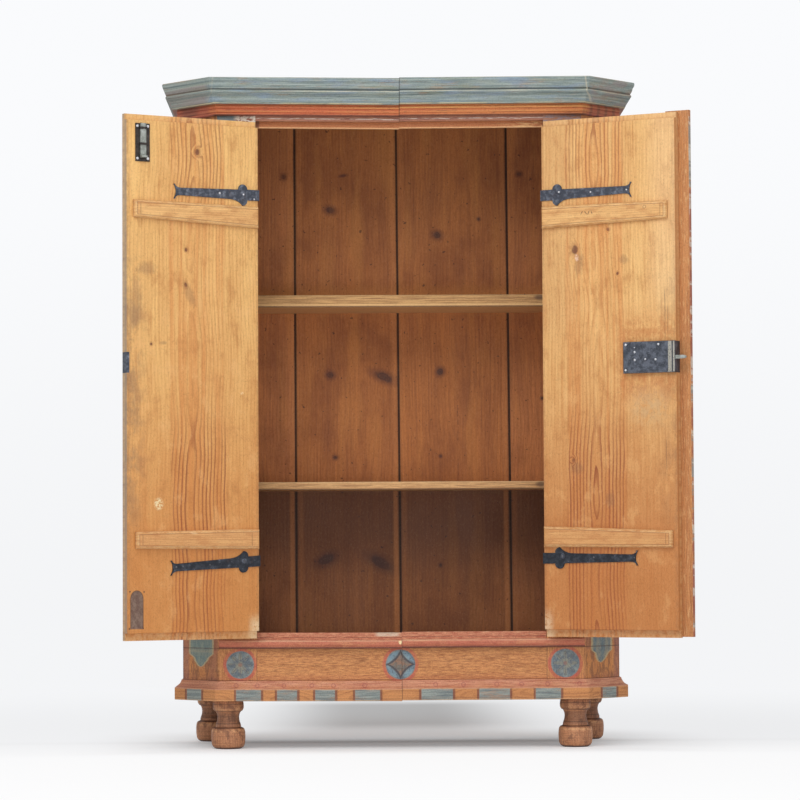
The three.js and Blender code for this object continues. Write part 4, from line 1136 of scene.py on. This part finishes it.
# %% Meeting strip
def strip_finish():
    f, along, through, z = on_leaf("meeting_strip_paint", "right")
    light, dark = (206, 142, 86), (160, 98, 56)
    height = pine(f, z, along, through, (360, 26), 6, 190, light, dark, lines=0.25)
    bare = rubbed(f, z, along, 191, amount=0.5)
    fine = f.noise(z * 0.03, along * 0.2, 194, 4, 0.7)
    f.lay(fine.rise(0.52, 0.64) * 0.5, (232, 190, 136))
    f.coat((186, 112, 66), through.fall(-2.5, -1.2), bare, cover=0.5)
    edge = along.rise(430, 431.6)
    patches = f.noise(z * 0.012, along * 0.05, 192, 4, 0.65)
    f.lay(edge * patches.rise(0.46, 0.54) * 0.75, (150, 72, 56))
    f.lay(edge * patches.fall(0.4, 0.46) * 0.7, BLUE_GREY)
    f.lay(edge * fine.rise(0.53, 0.58) * 0.6, CHALK)
    f.coat(BLUE_GREY, along.between(382, 412, 1.5) * through.fall(-15.5, -14.5), bare)
    f.grit(along, through, z * 0.6, 0.4)
    return f.done(0.55 + bare * 0.15, height)


dress(strip_finish(), "astragal")
print("meeting strip dressed")

# %% [markdown]
# ## The turned feet
# The feet were turned on a lathe, so fine lines run round them, and they were stained dark.
# The stain has rubbed off the widest part of the ball and off the collar. The crease over the
# ball and the lowest rim, where the foot stands on the floor, are painted nearly black: painted
# shade.


# %% Feet
def foot_finish():
    f, x, y, z = on_case("turned_pine")
    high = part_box("bottom_rail_left")[0].z / MM
    light, dark = (214, 150, 106), (140, 88, 60)
    height = pine(f, z, x, y, (0, 60), 5, 200, light, dark, lines=0.25, streak=0.6)
    turned = f.noise(x * 0.012, y * 0.012, z * 0.45, 4, 0.7)
    patches = f.noise(x * 0.05, y * 0.05, z * 0.045, 5, 0.7)
    f.lay(turned.rise(0.46, 0.6) * 0.36, (104, 60, 42))
    f.lay(patches.rise(0.5, 0.62) * 0.5, (84, 52, 42))
    rings = z.line(0.93 * high, 1, 1) + z.line(0.79 * high, 1.2, 1.2) + z.line(0.53 * high, 1, 1.2)
    f.lay(rings.least(1) * 0.7, (66, 38, 30))
    neck = z.between(0.46 * high, 0.74 * high, 9) * 0.42
    # The crease over the ball and the foot's lowest rim on the floor are painted nearly black: painted
    # shade.
    crease_and_floor_shade = z.line(0.44 * high, 1.4, 1.2) * 0.8 + z.fall(2, 7) * 0.95
    f.lay((neck + crease_and_floor_shade).least(1), (74, 44, 34))
    rub = z.line(0.38 * high, 4, 4) + z.between(0.8 * high, 0.9 * high, 5) * 0.6
    f.lay(rub * patches.fall(0.42, 0.56) * 0.65, (230, 176, 124))
    f.grit(x, y, z, 0.5)
    return f.done(0.46 + patches * 0.3, turned * 0.9 + height * 0.3, 0.5)


feet = named("foot_")
dress(foot_finish(), *feet)
print(len(feet), "feet dressed")

# %% [markdown]
# ## Blackened iron
# The straps, plates and lock were forged thin and blackened. One noise of hammer marks drives
# the colour, the gloss and the bump together. The two bolts slide, so they have worn to plain
# grey steel.


# %% Iron and steel
def iron_finish(name, black, worn, rub, metal=0.7):
    f = Finish(name, Metallic=metal)
    here = f.parts()
    hammered, scratched = f.noise(*here, 3, 0.6, scale=80), f.noise(*here, 4, 0.7, scale=420)
    bright = (hammered * 0.5 + scratched * 0.5).rise(0.58, 0.68)
    f.colour = f.mix(hammered.rise(0.4, 0.66) * 0.6, black, worn)
    f.lay(bright * rub, (190, 194, 206))
    f.lay(f.noise(*here, 5, 0.6, scale=60).rise(0.58, 0.7) * 0.3, (74, 50, 42))
    return f.done(0.48 - bright * 0.15 + scratched * 0.12, hammered * 0.8 + scratched * 0.25, 0.5)


strap_iron = iron_finish("strap_iron", (62, 66, 76), (114, 120, 132), 0.55)
low_strap_iron = iron_finish("low_strap_iron", (40, 43, 50), (70, 75, 84), 0.3)
plate_iron = iron_finish("plate_iron", (44, 38, 36), (74, 66, 62), 0.2, metal=0.5)
bolt_steel = iron_finish("bolt_steel", (132, 136, 130), (180, 184, 178), 0.6, metal=0.6)
# The nails' steel is painted near white: painted glint, as on heads that catch the light.
nail_steel_painted_glint = iron_finish("nail_steel_painted_glint", (196, 198, 204), (236, 236, 240), 0.8, metal=0.35)
dull_nail_iron = iron_finish("dull_nail_iron", (84, 84, 88), (132, 132, 136), 0.5)
print("six kinds of iron ready")


# %% Lock case
def lock_finish():
    """The lock's case has a bright rubbed band where it turns to the leaf's edge."""
    f, along, through, z = on_leaf("lock_iron", "right", Metallic=0.7)
    here = f.parts()
    hammered, scratched = f.noise(*here, 3, 0.6, scale=60), f.noise(*here, 4, 0.72, scale=300)
    f.colour = f.mix(hammered.rise(0.36, 0.64), (58, 62, 70), (92, 97, 108))
    f.lay(scratched.rise(0.55, 0.68) * 0.45, (140, 146, 158))
    face = through.rise(39, 40.5)
    band = along.between(381.5, 392, 0.9) + along.between(395.8, 400.6, 0.7)
    bright = (band * face * scratched.rise(0.28, 0.5)).least(1)
    f.lay(bright * 0.9, (172, 168, 156))
    f.lay(along.line(393.9, 1.2, 0.6) * face * 0.7, (40, 40, 42))
    rim = z.line(1037.5, 1, 0.8) + z.line(1121.5, 1, 0.8) * 0.5
    f.lay(rim * face * scratched.rise(0.4, 0.55) * 0.6, (150, 156, 168))
    return f.done(0.46 - bright * 0.12 + hammered * 0.1, hammered * 0.8 + scratched * 0.25, 0.5)


dress(lock_finish(), "lock_case")
dress(bolt_steel, "slide_bolt", "lock_bolt")
dress(plate_iron, "slide_bolt_plate")
dress(strap_iron, "strike_plate", *named("strap_hinge_upper", "pintle_upper"))
dress(low_strap_iron, *named("strap_hinge_lower", "pintle_lower"))
print("ironwork dressed")

# %% [markdown]
# ## Nails
# Hand-forged nails hold the iron, with low domes hammered into uneven facets, and the one on
# each boss sits on a low rose. The nails of one group are one piece that rides on their door.


# %% Nail heads
FACETS = 9


def piece_of(name, mesh, finish):
    data = bpy.data.meshes.new(name)
    mesh.to_mesh(data)
    mesh.free()
    data.materials.append(finish)
    return added(name, data)


def add_dome(mesh, centre, outwards, radius, proud, rings):
    """Rings of a faceted dome, from its foot just under the surface to its top."""
    outwards = outwards.normalized()
    side = outwards.cross(Vector((0, 0, 1))).normalized()
    up = side.cross(outwards)
    turn = centre.z * 37
    loops = []
    for share, height in rings:
        loop = []
        for i in range(FACETS):
            angle = turn + i * 2 * math.pi / FACETS
            uneven = 1 + 0.07 * math.sin(3 * angle + turn * 2)
            flat = (side * math.cos(angle) + up * math.sin(angle)) * radius * share * uneven
            loop.append(mesh.verts.new(centre + flat * MM + outwards * proud * height * MM))
        loops.append(loop)
    top = mesh.verts.new(centre + outwards * proud * MM)
    for lower, upper in zip(loops, loops[1:]):
        for i in range(FACETS):
            j = (i + 1) % FACETS
            mesh.faces.new((lower[i], lower[j], upper[j], upper[i]))
    for i in range(FACETS):
        mesh.faces.new((loops[-1][i], loops[-1][(i + 1) % FACETS], top))
    mesh.faces.new(list(reversed(loops[0])))


NAIL = [(1, -0.15), (0.96, 0.32), (0.68, 0.74), (0.34, 0.96)]
ROSE = [(1, -0.3), (0.98, 0.6), (0.8, 1), (0.6, 0.8)]
print("a nail has", len(NAIL) * FACETS + 1, "points")


# %% A group of nails as one piece
def nails_piece(name, side, off, proud, heads, rings=NAIL, finish=nail_steel_painted_glint):
    """heads: along the leaf, up, and the radius. The iron's face stands off the painted face."""
    leaf = leaves[side]
    mesh = bmesh.new()
    for along, z, radius in heads:
        add_dome(mesh, leaf.place(along, off, z), leaf.inwards, radius, proud, rings)
    bmesh.ops.recalc_face_normals(mesh, faces=mesh.faces)
    piece = piece_of(name, mesh, finish)
    for face in piece.data.polygons:
        face.use_smooth = True
    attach(piece, f"{side}_door")
    print(name, len(heads), "heads")


STRAP_FACE = LEAF + 3.15
STRAP_NAILS = {
    "left": {
        "upper": [(119, 1547, 3.2), (46, 1547, 3), (13, 1535, 2.6)],
        "lower": [(47, 526, 3), (152, 516, 2.6), (253, 511, 2.6)],
    },
    "right": {
        "upper": [(54, 1550, 3), (150, 1545, 2.6), (258, 1545.6, 2.6)],
        "lower": [(57, 535, 3), (151, 531, 2.6), (273, 530, 2.6)],
    },
}
ROSES = {"left": [(46, 1547, 7.5), (47, 526, 7.5)], "right": [(54, 1550, 7.5), (57, 535, 7.5)]}
for side, nails in STRAP_NAILS.items():
    nails_piece(f"strap_nails_upper_{side}", side, STRAP_FACE, 1.8, nails["upper"])
    nails_piece(f"strap_nails_lower_{side}", side, STRAP_FACE, 1.8, nails["lower"], finish=dull_nail_iron)
    nails_piece(f"strap_roses_{side}", side, STRAP_FACE, 0.9, ROSES[side], ROSE, strap_iron)

# %% Nails of the bolt's plate and of the lock
PLATE_FACE, LOCK_FACE = LEAF + 2.15, LEAF + 13.15
plate_corners = [(along, z, 4.2) for z in (1720, 1631) for along in (337, 368)]
nails_piece("bolt_plate_nails", "left", PLATE_FACE, 2.4, plate_corners)
lock_heads = [
    (256, 1115, 3.6), (353, 1114, 3.6), (282.5, 1094.5, 3.4), (283, 1072.7, 3.4),
    (314.4, 1074.3, 3), (344.5, 1072.7, 3.4), (255.6, 1045.2, 3.4), (282.6, 1107, 1.8),
]
nails_piece("lock_nails", "right", LOCK_FACE, 2.2, lock_heads)
nails_piece("lock_rose", "right", LOCK_FACE, 0.9, [(314.4, 1074.3, 6.5)], ROSE, strap_iron)

# %% [markdown]
# ## The studio
# The floor is a wide disc of pale paper with a light of its own that only the camera sees. It
# is faint near the cupboard, where its shadow lies, and stronger further off, till the paper
# has the colour of the room's horizon and no edge shows from any side.

# %% Floor
ROOM_WHITE, HORIZON_WHITE = (0.955, 0.963, 0.98, 1), (0.905, 0.912, 0.927, 1)
NEAR_WHITE, PAPER, BLACK = (0.975, 0.975, 0.98, 1), (0.89, 0.9, 0.915, 1), (0, 0, 0, 1)
LIFT = (0.19, 0.195, 0.2, 1)
FLOOR_RADIUS = 14000


def paper_finish():
    f, x, y, _ = on_case("studio_paper", Roughness=0.9, Specular_IOR_Level=0, Emission_Strength=1)
    under = abs(x).fall(120, 620)
    beside, behind = (abs(x) - 420).most(0), (y - 480).most(0)
    away = (beside * beside + behind * behind).root()
    # Beside and in front of the cupboard this glow also covers the cupboard's cast shadow: painted light.
    glow = away.rise(0, 550) * 0.75 + away.rise(550, 3200) * 0.25
    glow = glow * (1 - under * y.between(-100, 2600, 300))
    glow = glow.most(away.rise(1800, 3200)).most(y.fall(-250, 0) * 0.85)
    far = (x * x + y * y).root().rise(3000, 9000)
    own = f.mix(y.rise(-400, 500).most(far), NEAR_WHITE, HORIZON_WHITE)
    # The paper's own light is left out in a patch behind the cupboard and dimmed along a line 320 mm back:
    # painted shadow.
    shadow = (under * y.between(1050, 2600, 250)).most(y.line(320, 50, 60) * 0.45)
    f.shade("Base Color", f.mix(f.shown() * glow, PAPER, BLACK))
    f.shade("Emission Color", f.mix(f.shown(), BLACK, f.mix(glow, f.mix(shadow, LIFT, BLACK), own)))
    return f.material


disc = bmesh.new()
bmesh.ops.create_circle(disc, cap_ends=True, segments=96, radius=FLOOR_RADIUS * MM)
floor = piece_of("studio_floor", disc, paper_finish())
print("floor", 2 * FLOOR_RADIUS * MM, "m across")

# %% [markdown]
# ## Light
# The light is a pale world all round, one broad lamp high in front, which lets the doors grow
# darker towards their feet, a weak one from the right, and a low strip which reaches the
# shelves and the undersides of the mouldings. The camera sees the room as white.


# %% World
def pale_world(strength):
    world = bpy.data.worlds.new("pale_room")
    bpy.context.scene.world = world
    world.use_nodes = True
    room = Recipe(world.node_tree)
    height = room.node("ShaderNodeSeparateXYZ", inputs={0: room.node("ShaderNodeTexCoord")}, output=2)
    white = room.mix(height.rise(-0.02, 0.14), HORIZON_WHITE, ROOM_WHITE)
    light = room.node("ShaderNodeBackground", inputs={"Color": (1, 0.995, 0.985, 1), "Strength": strength})
    seen_white = room.node("ShaderNodeBackground", inputs={"Color": white, "Strength": 1})
    both = room.node("ShaderNodeMixShader", inputs={0: room.shown(), 1: light, 2: seen_white})
    room.node("ShaderNodeOutputWorld", inputs={0: both})


pale_world(0.46)
print("world lit")


# %% Lamps
def lamp(name, where, aim, size, watts):
    data = bpy.data.lights.new(name, "AREA")
    data.shape = "RECTANGLE"
    data.size, data.size_y = size
    data.energy = watts
    made = added(name, data)
    made.location = place(*where)
    direction = place(*aim) - made.location
    made.rotation_euler = direction.to_track_quat("-Z", "Y").to_euler()


lamp("front_lamp", (-1500, -3200, 4200), (0, 0, 900), (3.2, 2.4), 98)
lamp("side_lamp", (3600, -3000, 2400), (0, 0, 900), (2.2, 2.6), 23)
lamp("low_lamp", (300, -3600, 450), (0, 0, 1100), (3.4, 0.6), 23)
bpy.context.scene.view_settings.view_transform = "Standard"
print("lamps lit")

# %% [markdown]
# ## Dressed

# %% Done
print("dressed")
